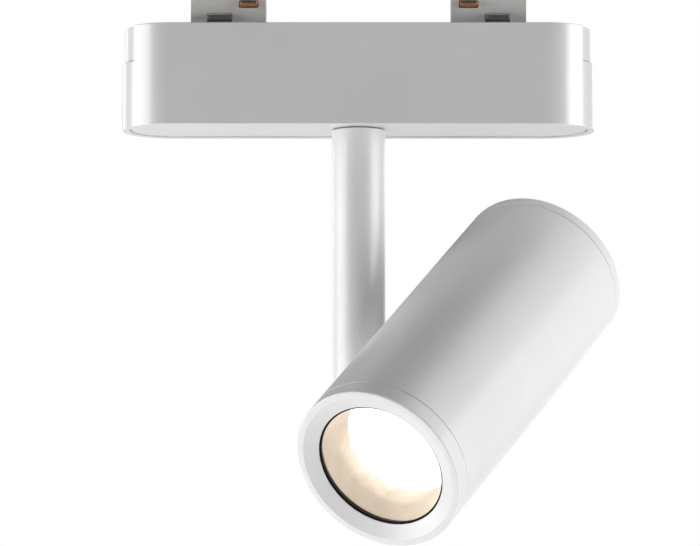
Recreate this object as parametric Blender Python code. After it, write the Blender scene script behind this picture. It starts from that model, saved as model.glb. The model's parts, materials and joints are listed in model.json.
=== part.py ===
"""Track spotlight: a driver housing that locks into a lighting track, a turning stem and a tilting head.

The origin is the centre of the housing's top face, which seats against the track, on the stem's axis.
+X runs along the track, +Z points up into it, and the lamp faces -Y. Values are in metres.
"""

import math

import bmesh
import bpy
from mathutils import Matrix, Vector

MM = 0.001
GAP = 0.3 * MM  # between pieces that touch on the real lamp
WELD = 0.001 * MM
THROUGH = 1.0 * MM  # how far a cutter runs past the wall it cuts

# Driver housing: a box with half-round ends
HOUSING_LENGTH = 163.4 * MM
HOUSING_WIDTH = 35.0 * MM
HOUSING_HEIGHT = 35.35 * MM
WALL = 2.5 * MM
TOP_WALL = 2.0 * MM
PLATE_THICKNESS = 2.0 * MM
PLATE_RECESS = 0.4 * MM

# Track adapter blocks, lock fins and contacts
BLOCK_INNER = 32.0 * MM
BLOCK_OUTER = 58.0 * MM
BLOCK_HALF_WIDTH = 7.9 * MM
BLOCK_TOP = 12.0 * MM
FIN_X = 48.0 * MM
FIN_WIDTH = 8.0 * MM
FIN_PIN_Y = 6.0 * MM
FIN_REACH = 10.9 * MM
LIP_CLEARANCE = 2.4 * MM  # the fins lie just above the track's 2 mm lips
CONTACT_X = 38.0 * MM
CONTACT_REACH = 10.4 * MM

# Release tabs in the housing's ends
TAB_HALF_WIDTH = 11.0 * MM
TAB_HEIGHT = 12.1 * MM
TAB_INSET = 0.7 * MM
TAB_TRAVEL = 3.2 * MM
TAB_BACK = 75.5 * MM
ARM_TOP = -5.0 * MM
ARM_THICKNESS = 1.6 * MM

# Screws between the housing and its bottom plate
SCREW_X = 66.0 * MM
SCREW_Y = 10.5 * MM
SCREW_HOLE = 1.7 * MM
SINK_RADIUS = 3.2 * MM
SINK_DEPTH = 1.7 * MM

# Driver circuit board, which hangs its parts below it
BOARD_BOTTOM = -13.1 * MM
BOARD_TOP = -11.5 * MM
BOARD_HALF_LENGTH = 52.0 * MM
BOARD_HALF_WIDTH = 13.0 * MM
BOARD_POST_X = 39.0 * MM
BOARD_POST_Y = 10.5 * MM
TERMINAL_INNER = -18.0 * MM
TERMINAL_OUTER = -30.0 * MM

# Stem and its two pivots. The pan stack lies on the bottom plate, the tilt stack along the bolt.
STEM_HOLE = 7.6 * MM
BUSH_FLANGE = 9.5 * MM
FRICTION_WASHER = 9.0 * MM
STOP_DISC = 10.1 * MM
STOP_REACH = 13.3 * MM
STOP_POST_X = -12.0 * MM
STOP_POST_RADIUS = 1.5 * MM
NUT_CORNER = 9.8 * MM
STEM_RADIUS = 9.25 * MM
STEM_BORE = 7.75 * MM
STEM_BOTTOM = -131.0 * MM
NECK_RADIUS = 5.7 * MM
NECK_TOP = -22.0 * MM
PAN_ANGLE = math.radians(32.53)
PIVOT_Z = -120.46 * MM
TILT_ANGLE = math.radians(54.25)
BOLT_RADIUS = 4.0 * MM
BOLT_BORE = 2.3 * MM
BOLT_END = 20.5 * MM
BOLT_HEAD_RADIUS = 6.5 * MM
BOLT_HEAD_START = 17.7 * MM
BOSS_RADIUS = 5.6 * MM
BOSS_END = 9.6 * MM
LEAD_RADIUS = 1.6 * MM
LEAD_BEND = 5.0 * MM

# Head, measured as depth behind its front face and radius about its own axis
HEAD_RADIUS = 30.0 * MM
HEAD_BORE = 27.5 * MM
HEAD_LENGTH = 132.8 * MM
HEAD_OFFSET = 41.64 * MM
PIVOT_DEPTH = HEAD_LENGTH / 2
LEAD_X = BOLT_END + GAP + LEAD_BEND - HEAD_OFFSET  # the head's lead runs forward here, beside the pivot
BEZEL_LENGTH = 6.6 * MM
BEZEL_SPIGOT_END = 13.0 * MM
REAR_CAP_LENGTH = 4.2 * MM
REAR_CAP_THICKNESS = 2.5 * MM
REAR_SPIGOT_START = 122.5 * MM
SPIGOT_RADIUS = 27.2 * MM
LIP_INNER = 27.5 * MM
MOUTH_RADIUS = 22.8 * MM
MOUTH_DEPTH = 2.3 * MM
CONE_RADIUS = 25.0 * MM
LENS_DEPTH = 19.9 * MM
LENS_RADIUS = 21.0 * MM
LED_DEPTH = 46.0 * MM
LED_HOLE = 2.2 * MM  # where the lead passes the board and the heat sink
SADDLE_RADIUS = 8.0 * MM
FIN_COUNT = 12
CAP_SCREW_PLACE = 15.5 * MM
CAP_SCREW_HEAD = 2.9 * MM

# Sides of the round pieces
FINE = 40
MEDIUM = 24
COARSE = 16
SMALL = 10
ARC = 12  # steps of a half circle
BEND_STEPS = 8  # steps of a lead's quarter bend

SHARP_ANGLE = math.radians(35)

HOUSING_BOTTOM = -HOUSING_HEIGHT
PLATE_BOTTOM = HOUSING_BOTTOM + PLATE_RECESS
PLATE_TOP = PLATE_BOTTOM + PLATE_THICKNESS
HALF_LENGTH = HOUSING_LENGTH / 2
HALF_WIDTH = HOUSING_WIDTH / 2
END_CENTRE = HALF_LENGTH - HALF_WIDTH


def clear_scene():
    for obj in list(bpy.data.objects):
        bpy.data.objects.remove(obj, do_unlink=True)


def finish(name, colour, roughness, metallic=0.0):
    material = bpy.data.materials.new(name)
    material.use_nodes = True
    shader = material.node_tree.nodes["Principled BSDF"]
    shader.inputs["Base Color"].default_value = (*colour, 1.0)
    shader.inputs["Roughness"].default_value = roughness
    shader.inputs["Metallic"].default_value = metallic
    return material


def pivot(name, location, rotation, parent=None):
    empty = bpy.data.objects.new(name, None)
    empty.location = location
    empty.rotation_euler = rotation
    empty.parent = parent
    bpy.context.scene.collection.objects.link(empty)
    return empty


def piece(name, shape, material, parent=None, origin=(0.0, 0.0, 0.0)):
    """An object from a bmesh in its parent's frame, with the object's own origin at the given point."""
    bmesh.ops.translate(shape, verts=shape.verts, vec=-Vector(origin))
    bmesh.ops.recalc_face_normals(shape, faces=shape.faces)
    mesh = bpy.data.meshes.new(name)
    shape.to_mesh(mesh)
    shape.free()
    mesh.materials.append(material)
    mesh.shade_smooth()
    mesh.set_sharp_from_angle(angle=SHARP_ANGLE)
    obj = bpy.data.objects.new(name, mesh)
    obj.location = origin
    obj.parent = parent
    bpy.context.scene.collection.objects.link(obj)
    return obj


def combine(obj, operation, *shapes):
    """Boolean the shapes, which stand apart and are given in the object's parent frame, with the object."""
    together = bmesh.new()
    for shape in shapes:
        mesh = bpy.data.meshes.new("shape")
        shape.to_mesh(mesh)
        shape.free()
        together.from_mesh(mesh)
        bpy.data.meshes.remove(mesh)
    tool = piece(f"{obj.name}_tool", together, obj.active_material, obj.parent, obj.location)
    tool.hide_render = True
    tool.display_type = "WIRE"
    modifier = obj.modifiers.new("shape", "BOOLEAN")
    modifier.operation = operation
    modifier.solver = "EXACT"
    modifier.object = tool


def add(obj, *shapes):
    combine(obj, "UNION", *shapes)


def cut(obj, *shapes):
    combine(obj, "DIFFERENCE", *shapes)


def turned(profile, sides, centre=(0.0, 0.0)):
    """A solid turned about Z from a closed outline of (radius, height) points."""
    shape = bmesh.new()
    points = [shape.verts.new((radius, 0.0, height)) for radius, height in profile]
    edges = []
    for start, end in zip(points, points[1:] + points[:1]):
        if start.co.x > WELD or end.co.x > WELD:
            edges.append(shape.edges.new((start, end)))
    bmesh.ops.spin(
        shape,
        geom=points + edges,
        cent=(0.0, 0.0, 0.0),
        axis=(0.0, 0.0, 1.0),
        angle=math.tau,
        steps=sides,
        use_merge=True,
    )
    bmesh.ops.remove_doubles(shape, verts=shape.verts, dist=WELD)
    bmesh.ops.translate(shape, verts=shape.verts, vec=(*centre, 0.0))
    return shape


def extruded(outline, bottom, top):
    """A solid with the given outline of (x, y) points between two heights."""
    shape = bmesh.new()
    face = shape.faces.new([shape.verts.new((x, y, bottom)) for x, y in outline])
    swept = bmesh.ops.extrude_face_region(shape, geom=[face])
    raised = [item for item in swept["geom"] if isinstance(item, bmesh.types.BMVert)]
    bmesh.ops.translate(shape, verts=raised, vec=(0.0, 0.0, top - bottom))
    return shape


def rod(radius, bottom, top, sides, centre=(0.0, 0.0)):
    return turned([(0.0, bottom), (radius, bottom), (radius, top), (0.0, top)], sides, centre)


def ring(inner, outer, bottom, top, sides, centre=(0.0, 0.0)):
    return turned([(inner, bottom), (outer, bottom), (outer, top), (inner, top)], sides, centre)


def block(low, high):
    """A box between two opposite corners."""
    outline = [(low[0], low[1]), (high[0], low[1]), (high[0], high[1]), (low[0], high[1])]
    return extruded(outline, low[2], high[2])


def along_x(shape):
    """Turn a shape made about Z so that its +Z points along +X."""
    shape.transform(Matrix.Rotation(math.radians(90), 4, "Y"))
    return shape


def raised_by(shape, height):
    bmesh.ops.translate(shape, verts=shape.verts, vec=(0.0, 0.0, height))
    return shape


def mirrored(outline, side):
    return [(side * x, y) for x, y in outline]


def arc_points(centre, radius, start, end, steps):
    angles = [start + (end - start) * step / steps for step in range(steps + 1)]
    return [(centre[0] + radius * math.cos(a), centre[1] + radius * math.sin(a)) for a in angles]


def stadium(half_width, centre_x):
    """A rectangle with half-round ends, centred on the origin."""
    quarter = math.pi / 2
    right = arc_points((centre_x, 0.0), half_width, -quarter, quarter, ARC)
    left = arc_points((-centre_x, 0.0), half_width, quarter, 3 * quarter, ARC)
    return right + left


def smooth_path(stops, steps=4):
    """Points on a Catmull-Rom curve through the stops."""
    ends = [stops[0]] + [Vector(stop) for stop in stops] + [stops[-1]]
    path = []
    for a, b, c, d in zip(ends, ends[1:], ends[2:], ends[3:]):
        a, b, c, d = Vector(a), Vector(b), Vector(c), Vector(d)
        for step in range(steps):
            t = step / steps
            bend = (2 * a - 5 * b + 4 * c - d) * t**2
            twist = (3 * b - a - 3 * c + d) * t**3
            path.append((2 * b + (c - a) * t + bend + twist) / 2)
    path.append(Vector(stops[-1]))
    return path


def tube(name, path, radius, material, parent=None, resolution=2):
    """A round wire along the path, with closed ends."""
    curve = bpy.data.curves.new(name, "CURVE")
    curve.dimensions = "3D"
    curve.bevel_depth = radius
    curve.bevel_resolution = resolution
    curve.use_fill_caps = True
    spline = curve.splines.new("POLY")
    spline.points.add(len(path) - 1)
    for point, place in zip(spline.points, path):
        point.co = (*place, 1.0)
    curve.materials.append(material)
    obj = bpy.data.objects.new(name, curve)
    obj.parent = parent
    bpy.context.scene.collection.objects.link(obj)
    return obj


def driver_housing(paint):
    housing = piece("driver_housing", extruded(stadium(HALF_WIDTH, END_CENTRE), HOUSING_BOTTOM, 0.0), paint)
    inner = stadium(HALF_WIDTH - WALL, END_CENTRE)
    cut(housing, extruded(inner, HOUSING_BOTTOM - THROUGH, -TOP_WALL))
    notch_start = TAB_BACK - TAB_TRAVEL - GAP
    openings = []
    for side in (-1, 1):
        tab_wide = TAB_HALF_WIDTH + GAP
        openings.append(
            span(side, notch_start, HALF_LENGTH + THROUGH, tab_wide, -TAB_HEIGHT - GAP, THROUGH)
        )
        block_wide = BLOCK_HALF_WIDTH + GAP
        openings.append(
            span(side, BLOCK_INNER - GAP, BLOCK_OUTER + GAP, block_wide, -TOP_WALL - THROUGH, THROUGH)
        )
    sink = [
        (0.0, -TOP_WALL - THROUGH),
        (SCREW_HOLE, -TOP_WALL - THROUGH),
        (SCREW_HOLE, -SINK_DEPTH),
        (SINK_RADIUS, 0.0),
        (SINK_RADIUS, THROUGH),
        (0.0, THROUGH),
    ]
    cut(housing, *openings, *[turned(sink, COARSE, place) for place in screw_places()])


def screw_places():
    return [(x, y) for x in (-SCREW_X, SCREW_X) for y in (-SCREW_Y, SCREW_Y)]


def housing_screws(steel):
    shank, head, socket = 1.2 * MM, 2.75 * MM, 1.2 * MM
    tip, face, socket_floor = -9.0 * MM, -0.15 * MM, -1.0 * MM
    profile = [
        (0.0, tip),
        (shank, tip),
        (shank, -SINK_DEPTH),
        (head, face),
        (socket, face),
        (socket, socket_floor),
        (0.0, socket_floor),
    ]
    for number, place in enumerate(screw_places(), 1):
        piece(f"housing_screw_{number}", turned(profile, COARSE, place), steel, origin=(*place, 0.0))


def board_posts():
    return [(x, y) for x in (-BOARD_POST_X, BOARD_POST_X) for y in (-BOARD_POST_Y, BOARD_POST_Y)]


def bottom_plate(paint):
    outline = stadium(HALF_WIDTH - WALL - GAP, END_CENTRE)
    plate = piece("bottom_plate", extruded(outline, PLATE_BOTTOM, PLATE_TOP), paint)
    buried = PLATE_TOP - 0.8 * MM
    screw_post, screw_bore, screw_bore_end = 3.0 * MM, 1.5 * MM, -10.0 * MM
    board_post, board_bore, board_bore_end = 2.2 * MM, 1.1 * MM, -19.0 * MM
    stop_top = -29.0 * MM
    posts = [rod(screw_post, buried, -TOP_WALL - GAP, ARC, place) for place in screw_places()]
    posts += [rod(board_post, buried, BOARD_BOTTOM - GAP, SMALL, place) for place in board_posts()]
    stop_post = rod(STOP_POST_RADIUS, buried, stop_top, SMALL, (STOP_POST_X, 0.0))
    add(plate, stop_post, *posts)
    holes = [rod(screw_bore, screw_bore_end, 0.0, SMALL, place) for place in screw_places()]
    holes += [rod(board_bore, board_bore_end, 0.0, SMALL, place) for place in board_posts()]
    cut(plate, rod(STEM_HOLE, PLATE_BOTTOM - THROUGH, PLATE_TOP + THROUGH, MEDIUM), *holes)


def driver_parts(finishes):
    """The circuit board with what is soldered to its lower face."""
    low = (-BOARD_HALF_LENGTH, -BOARD_HALF_WIDTH, BOARD_BOTTOM)
    high = (BOARD_HALF_LENGTH, BOARD_HALF_WIDTH, BOARD_TOP)
    board = piece("driver_board", block(low, high), finishes["board"])
    below, above = BOARD_BOTTOM - THROUGH, BOARD_TOP + THROUGH
    hole = 1.3 * MM
    cut(board, *[rod(hole, below, above, SMALL, place) for place in board_posts()])
    for number, place in enumerate((board_posts()[0], board_posts()[-1]), 1):
        piece(f"board_screw_{number}", board_screw(place), finishes["steel"], origin=(*place, 0.0))

    top = BOARD_BOTTOM - GAP
    transformer(top, finishes["ferrite"])
    capacitor("input_capacitor", 5.0 * MM, top, 13.5 * MM, -45.0 * MM, finishes["sleeve"])
    capacitor("output_capacitor", 4.0 * MM, top, 11.0 * MM, 45.0 * MM, finishes["sleeve"])
    inductor(top, finishes["ferrite"])
    terminal_block(top, finishes["terminal"])


def board_screw(place):
    shank, head, tip = 0.8 * MM, 1.9 * MM, -17.5 * MM
    face = BOARD_TOP + GAP
    edge, crown = face + 0.9 * MM, face + 1.3 * MM
    profile = [
        (0.0, tip),
        (shank, tip),
        (shank, face),
        (head, face),
        (head, edge),
        (1.2 * MM, crown),
        (0.0, crown),
    ]
    return turned(profile, COARSE, place)


def transformer(top, ferrite):
    """A ferrite core on its bobbin's flange, with the round winding between its legs."""
    start, end, half, bottom = 20.0 * MM, 34.0 * MM, 7.0 * MM, -27.0 * MM
    core = block((start, -half, bottom), (end, half, top - 2.0 * MM))
    obj = piece("transformer", core, ferrite)
    rim = 2.0 * MM
    flange = block((start - rim, -half - rim, top - 3.0 * MM), (end + rim, half + rim, top))
    add(obj, flange)
    add(obj, rod(6.6 * MM, bottom, top - 1.0 * MM, COARSE, ((start + end) / 2, 2.5 * MM)))


def capacitor(name, radius, top, height, x, sleeve):
    crimp = 0.6 * MM
    bottom = top - height
    profile = [(0.0, bottom), (radius - crimp, bottom), (radius, bottom + crimp), (radius, top), (0.0, top)]
    piece(name, turned(profile, COARSE, (x, 0.0)), sleeve)


def inductor(top, ferrite):
    """A drum core with its flanges."""
    flange, winding, flange_thickness = 4.5 * MM, 3.6 * MM, 1.2 * MM
    bottom = top - 7.5 * MM
    drum = [
        (0.0, bottom),
        (flange, bottom),
        (flange, bottom + flange_thickness),
        (winding, bottom + flange_thickness),
        (winding, top - flange_thickness),
        (flange, top - flange_thickness),
        (flange, top),
        (0.0, top),
    ]
    piece("filter_inductor", turned(drum, COARSE, (9.5 * MM, 4.0 * MM)), ferrite)


def terminal_block(top, plastic):
    """Three push-in terminals, open to the left."""
    half, bottom = 8.0 * MM, -22.0 * MM
    body = block((TERMINAL_OUTER, -half, bottom), (TERMINAL_INNER, half, top))
    obj = piece("terminal_block", body, plastic)
    hole_half, hole_bottom, hole_top = 1.2 * MM, -20.0 * MM, -16.5 * MM
    pitch, depth = 5.0 * MM, 6.0 * MM
    cut(obj, *[
        block(
            (TERMINAL_OUTER - THROUGH, y - hole_half, hole_bottom),
            (TERMINAL_OUTER + depth, y + hole_half, hole_top),
        )
        for y in (-pitch, 0.0, pitch)
    ])


def adapter_block(name, side, contact_sides, plastic):
    """The moulded block that enters the track's slot, with the fins' channel and the contacts' pockets."""
    root, chamfer = -3.0 * MM, 1.5 * MM
    body = [
        (-BLOCK_HALF_WIDTH, root),
        (BLOCK_HALF_WIDTH, root),
        (BLOCK_HALF_WIDTH, BLOCK_TOP - chamfer),
        (BLOCK_HALF_WIDTH - chamfer, BLOCK_TOP),
        (chamfer - BLOCK_HALF_WIDTH, BLOCK_TOP),
        (-BLOCK_HALF_WIDTH, BLOCK_TOP - chamfer),
    ]
    start, end = sorted((side * BLOCK_INNER, side * BLOCK_OUTER))
    obj = piece(name, crosswise(body, start, end), plastic)

    flange_wide, flange_rim = 10.5 * MM, 2.5 * MM
    flange_top, flange_bottom = -TOP_WALL - GAP, -4.2 * MM
    inner, outer = BLOCK_INNER - flange_rim, BLOCK_OUTER + flange_rim
    add(obj, span(side, inner, outer, flange_wide, flange_bottom, flange_top))
    joined = flange_bottom + 0.5 * MM
    spring_foot = span(side, inner, inner + 2.0 * MM, 4.0 * MM, -7.1 * MM, joined)
    arm_loop = span(side, 53.5 * MM, 57.5 * MM, flange_wide, -8.0 * MM, joined)
    add(obj, spring_foot, arm_loop)

    half = FIN_WIDTH / 2 + GAP
    fin_channel = span(side, FIN_X - half, FIN_X + half, flange_wide + THROUGH, -9.0 * MM, 4.7 * MM)
    arm_passage = span(side, 53.0 * MM, 58.0 * MM, 9.3 * MM, -6.9 * MM, -4.6 * MM)
    hollows = [fin_channel, arm_passage]
    pocket_half, pocket_back = 3.3 * MM, 1.2 * MM
    pocket_bottom, pocket_top = 6.7 * MM, 9.3 * MM
    for y_side in contact_sides:
        near, far = sorted((y_side * pocket_back, y_side * (BLOCK_HALF_WIDTH + THROUGH)))
        low_x, high_x = sorted((side * (CONTACT_X - pocket_half), side * (CONTACT_X + pocket_half)))
        hollows.append(block((low_x, near, pocket_bottom), (high_x, far, pocket_top)))
    cut(obj, *hollows)


def span(side, inner, outer, half_width, bottom, top):
    """A box across the housing, between two distances from its middle on one side."""
    low, high = sorted((side * inner, side * outer))
    return block((low, -half_width, bottom), (high, half_width, top))


def crosswise(outline, start, end):
    """A solid with an outline of (y, z) points, between two places along X."""
    shape = extruded(outline, start, end)
    shape.transform(Matrix(((0, 0, 1, 0), (1, 0, 0, 0), (0, 1, 0, 0), (0, 0, 0, 1))))
    return shape


def lock_fin(name, side, y_side, steel):
    """A hooked plate that slides out over the track's lip, with the pin that its tab's cam slot drives."""
    foot, pin_end, pin = -4.6 * MM, -6.9 * MM, 1.0 * MM
    top = LIP_CLEARANCE + 2.0 * MM
    inner, outer = FIN_PIN_Y - pin, FIN_PIN_Y + pin
    ramp_run, ramp_rise = 1.4 * MM, 0.8 * MM
    hook = [
        (inner, foot),
        (outer, foot),
        (outer, LIP_CLEARANCE),
        (FIN_REACH, LIP_CLEARANCE),
        (FIN_REACH, top - ramp_rise),
        (FIN_REACH - ramp_run, top),
        (inner, top),
    ]
    outline = [(y_side * y, z) for y, z in hook]
    start = side * FIN_X - FIN_WIDTH / 2
    origin = (side * FIN_X, y_side * FIN_PIN_Y, LIP_CLEARANCE)
    fin = piece(name, crosswise(outline, start, start + FIN_WIDTH), steel, origin=origin)
    add(fin, rod(pin, pin_end, foot + 0.6 * MM, SMALL, (side * FIN_X, y_side * FIN_PIN_Y)))


def release_tab(name, side, plastic):
    """The push tab in the housing's end, with the arm whose slanted slots draw the fins in."""
    radius = HALF_WIDTH - TAB_INSET
    swing = math.asin(TAB_HALF_WIDTH / radius)
    pad = arc_points((END_CENTRE, 0.0), radius, -swing, swing, ARC)
    pad += [(TAB_BACK, TAB_HALF_WIDTH), (TAB_BACK, -TAB_HALF_WIDTH)]
    origin = (side * TAB_BACK, 0.0, ARM_TOP)
    tab = piece(name, extruded(mirrored(pad, side), -TAB_HEIGHT, -GAP), plastic, origin=origin)
    tip, shoulder, neck, root = 42.0 * MM, 57.0 * MM, 59.0 * MM, TAB_BACK + 1.0 * MM
    wide, narrow = 9.0 * MM, 6.9 * MM
    arm = [
        (tip, -wide),
        (shoulder, -wide),
        (neck, -narrow),
        (root, -narrow),
        (root, narrow),
        (neck, narrow),
        (shoulder, wide),
        (tip, wide),
    ]
    add(tab, extruded(mirrored(arm, side), ARM_TOP - ARM_THICKNESS, ARM_TOP))
    below, above = ARM_TOP - ARM_THICKNESS - THROUGH, ARM_TOP + THROUGH
    cut(tab, *[extruded(mirrored(slanted_slot(y_side), side), below, above) for y_side in (-1, 1)])


def slanted_slot(y_side):
    """A slot at 45 degrees, from the fin's pin at rest to where it is when the tab is pushed home."""
    radius = 1.3 * MM
    start = (FIN_X, y_side * FIN_PIN_Y)
    end = (FIN_X + TAB_TRAVEL, y_side * (FIN_PIN_Y - TAB_TRAVEL))
    heading = math.atan2(end[1] - start[1], end[0] - start[0])
    quarter = math.pi / 2
    far = arc_points(end, radius, heading - quarter, heading + quarter, ARC // 2)
    near = arc_points(start, radius, heading + quarter, heading + 3 * quarter, ARC // 2)
    return far + near


def tab_spring(name, side, steel):
    start, end = 31.9 * MM, 41.6 * MM
    turns, per_turn = 6, 8
    coil, wire = 1.0 * MM, 0.2 * MM
    height = ARM_TOP - ARM_THICKNESS / 2
    path = []
    for step in range(turns * per_turn + 1):
        angle = math.tau * step / per_turn
        along = start + (end - start) * step / (turns * per_turn)
        path.append((side * along, coil * math.cos(angle), height + coil * math.sin(angle)))
    return tube(name, path, wire, steel, resolution=0)


def contact(name, side, y_side, copper):
    """A sprung contact nose that runs in one of the track's conductors."""
    back, width = 4.6 * MM, 6.0 * MM
    middle, half, tip_half = 8.0 * MM, 1.0 * MM, 0.4 * MM
    nose = [
        (back, middle - half),
        (CONTACT_REACH - half, middle - half),
        (CONTACT_REACH, middle - tip_half),
        (CONTACT_REACH, middle + tip_half),
        (CONTACT_REACH - half, middle + half),
        (back, middle + half),
    ]
    outline = [(y_side * y, z) for y, z in nose]
    start = side * CONTACT_X - width / 2
    origin = (side * CONTACT_X, y_side * back, middle)
    return piece(name, crosswise(outline, start, start + width), copper, origin=origin)


def housing_leads(finishes):
    """The supply leads over the board, and the lead from the terminals to the stem's neck."""
    above = -10.0 * MM
    reach = 28.9 * MM  # just short of the adapter block that the lead ends at
    for name, x, y, finish_name in (
        ("live_lead", reach, 6.0 * MM, "brown"),
        ("neutral_lead", reach, -6.0 * MM, "blue"),
        ("earth_lead", -reach, -9.0 * MM, "green"),
    ):
        start_x = -15.0 * MM if x > 0 else 0.0
        stops = [
            (start_x, y, BOARD_TOP + 2 * GAP),
            (start_x, y, above - 0.4 * MM),
            (start_x + 0.12 * (x - start_x), y, above + 0.6 * MM),
            (start_x + 0.55 * (x - start_x), 0.9 * y, above + 1.2 * MM),
            (0.82 * x, y, above + 3.4 * MM),
            (0.94 * x, y, -3.7 * MM),
            (x, y, -3.3 * MM),
        ]
        tube(name, smooth_path(stops, 3), 0.8 * MM, finishes[finish_name], resolution=1)
    stops = [
        (-17.7 * MM, 0.0, -17.6 * MM),
        (-14.0 * MM, 0.0, -17.2 * MM),
        (-9.0 * MM, 0.0, -15.9 * MM),
        (-4.0 * MM, 0.0, -15.4 * MM),
        (-0.9 * MM, 0.0, -17.0 * MM),
        (0.0, 0.0, -19.6 * MM),
    ]
    tube("driver_lead", smooth_path(stops, 3), LEAD_RADIUS, finishes["lead"])


def pan_pieces(finishes, pan):
    """The stem's neck and what holds it in the bottom plate."""
    bore = NECK_RADIUS + GAP
    flange_bottom = PLATE_TOP + GAP
    flange_top = flange_bottom + 1.0 * MM
    bush = [
        (bore, PLATE_BOTTOM + GAP),
        (STEM_HOLE - GAP, PLATE_BOTTOM + GAP),
        (STEM_HOLE - GAP, flange_bottom),
        (BUSH_FLANGE, flange_bottom),
        (BUSH_FLANGE, flange_top),
        (bore, flange_top),
    ]
    piece("pan_bushing", turned(bush, MEDIUM), finishes["acetal"])
    passage, foot, shoulder, chamfer = 3.0 * MM, -50.0 * MM, -35.7 * MM, 0.6 * MM
    neck = [
        (passage, foot),
        (STEM_BORE - GAP, foot),
        (STEM_BORE - GAP, shoulder),
        (NECK_RADIUS, shoulder),
        (NECK_RADIUS, NECK_TOP - chamfer),
        (NECK_RADIUS - chamfer, NECK_TOP),
        (passage, NECK_TOP),
    ]
    piece("stem_neck", turned(neck, MEDIUM), finishes["zinc"], pan)
    washer_bottom = flange_top + GAP
    washer_top = washer_bottom + 0.6 * MM
    washer = ring(bore, FRICTION_WASHER, washer_bottom, washer_top, MEDIUM)
    piece("pan_friction_washer", washer, finishes["spring_steel"], pan)
    stop_bottom = washer_top + GAP
    stop_top = stop_bottom + 1.2 * MM
    lug = 1.53 * MM
    turn = math.asin(lug / STOP_DISC)
    outline = arc_points((0.0, 0.0), STOP_DISC, turn, math.tau - turn, MEDIUM)
    outline += [(STOP_REACH, -lug), (STOP_REACH, lug)]
    stop = piece("pan_stop_washer", extruded(outline, stop_bottom, stop_top), finishes["steel"], pan)
    cut(stop, rod(bore, stop_bottom - THROUGH, stop_top + THROUGH, MEDIUM))
    nut_bottom = stop_top + GAP
    nut_top = nut_bottom + 5.0 * MM
    corners = arc_points((0.0, 0.0), NUT_CORNER, 0.0, math.tau * 5 / 6, 5)
    nut = piece("pan_nut", extruded(corners, nut_bottom, nut_top), finishes["zinc"], pan)
    cut(nut, rod(bore, nut_bottom - THROUGH, nut_top + THROUGH, MEDIUM))


def stem_pieces(finishes, pan):
    """The stem tube, the knuckle in its lower end and the hollow bolt that the head turns on."""
    tube_top = PLATE_BOTTOM - GAP
    stem = piece(
        "stem_tube",
        ring(STEM_BORE, STEM_RADIUS, STEM_BOTTOM, tube_top, FINE),
        finishes["paint"],
        pan,
    )
    side_hole = rod(BOSS_RADIUS + GAP, STEM_BORE / 2, STEM_RADIUS + THROUGH, COARSE)
    cut(stem, raised_by(along_x(side_hole), PIVOT_Z))

    plug_bottom, plug_top, well_bottom, well = -128.2 * MM, -109.0 * MM, -125.5 * MM, 4.1 * MM
    plug = rod(STEM_BORE - GAP, plug_bottom, plug_top, MEDIUM)
    knuckle = piece("stem_knuckle", plug, finishes["zinc"], pan)
    boss = rod(BOSS_RADIUS, 1.0 * MM, BOSS_END, COARSE)
    add(knuckle, raised_by(along_x(boss), PIVOT_Z))
    cut(knuckle, rod(well, well_bottom, plug_top + THROUGH, COARSE))
    bolt_bore = rod(BOLT_RADIUS + GAP, 1.2 * MM, BOSS_END + THROUGH, COARSE)
    cut(knuckle, raised_by(along_x(bolt_bore), PIVOT_Z))

    cap_bottom, edge = STEM_BOTTOM - 2.3 * MM, 0.8 * MM
    spigot_top = plug_bottom - GAP
    cap = [
        (0.0, cap_bottom),
        (STEM_RADIUS - edge, cap_bottom),
        (STEM_RADIUS, cap_bottom + edge),
        (STEM_RADIUS, STEM_BOTTOM - GAP),
        (STEM_BORE - GAP, STEM_BOTTOM - GAP),
        (STEM_BORE - GAP, spigot_top),
        (0.0, spigot_top),
    ]
    piece("stem_end_cap", turned(cap, FINE), finishes["paint"], pan)

    at_pivot = (0.0, 0.0, PIVOT_Z)
    bolt_start, chamfer = 4.6 * MM, 0.5 * MM
    bolt = [
        (BOLT_BORE, bolt_start),
        (BOLT_RADIUS, bolt_start),
        (BOLT_RADIUS, BOLT_HEAD_START),
        (BOLT_HEAD_RADIUS, BOLT_HEAD_START),
        (BOLT_HEAD_RADIUS, BOLT_END - chamfer),
        (BOLT_HEAD_RADIUS - chamfer, BOLT_END),
        (BOLT_BORE, BOLT_END),
    ]
    piece("pivot_bolt", raised_by(along_x(turned(bolt, COARSE)), PIVOT_Z), finishes["zinc"], pan, at_pivot)
    washer_thickness = 0.6 * MM
    washer_start = BOSS_END + GAP
    washer = ring(BOLT_RADIUS + GAP, 7.0 * MM, washer_start, washer_start + washer_thickness, COARSE)
    piece("tilt_friction_washer", raised_by(along_x(washer), PIVOT_Z), finishes["acetal"], pan, at_pivot)
    wave_end = BOLT_HEAD_START - GAP
    wave = ring(BOLT_RADIUS + GAP, 6.8 * MM, wave_end - washer_thickness, wave_end, COARSE)
    piece("tilt_spring_washer", raised_by(along_x(wave), PIVOT_Z), finishes["spring_steel"], pan, at_pivot)

    path = [(0.0, 0.0, -20.2 * MM)]
    path += [(0.0, 0.0, -30.0 * MM - step * 12.0 * MM) for step in range(8)]
    for step in range(BEND_STEPS + 1):
        angle = math.pi / 2 * step / BEND_STEPS
        path.append((LEAD_BEND * (1 - math.cos(angle)), 0.0, PIVOT_Z + LEAD_BEND * (1 - math.sin(angle))))
    path.append((BOLT_END - 0.2 * MM, 0.0, PIVOT_Z))
    tube("stem_lead", path, LEAD_RADIUS, finishes["lead"], pan)


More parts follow.
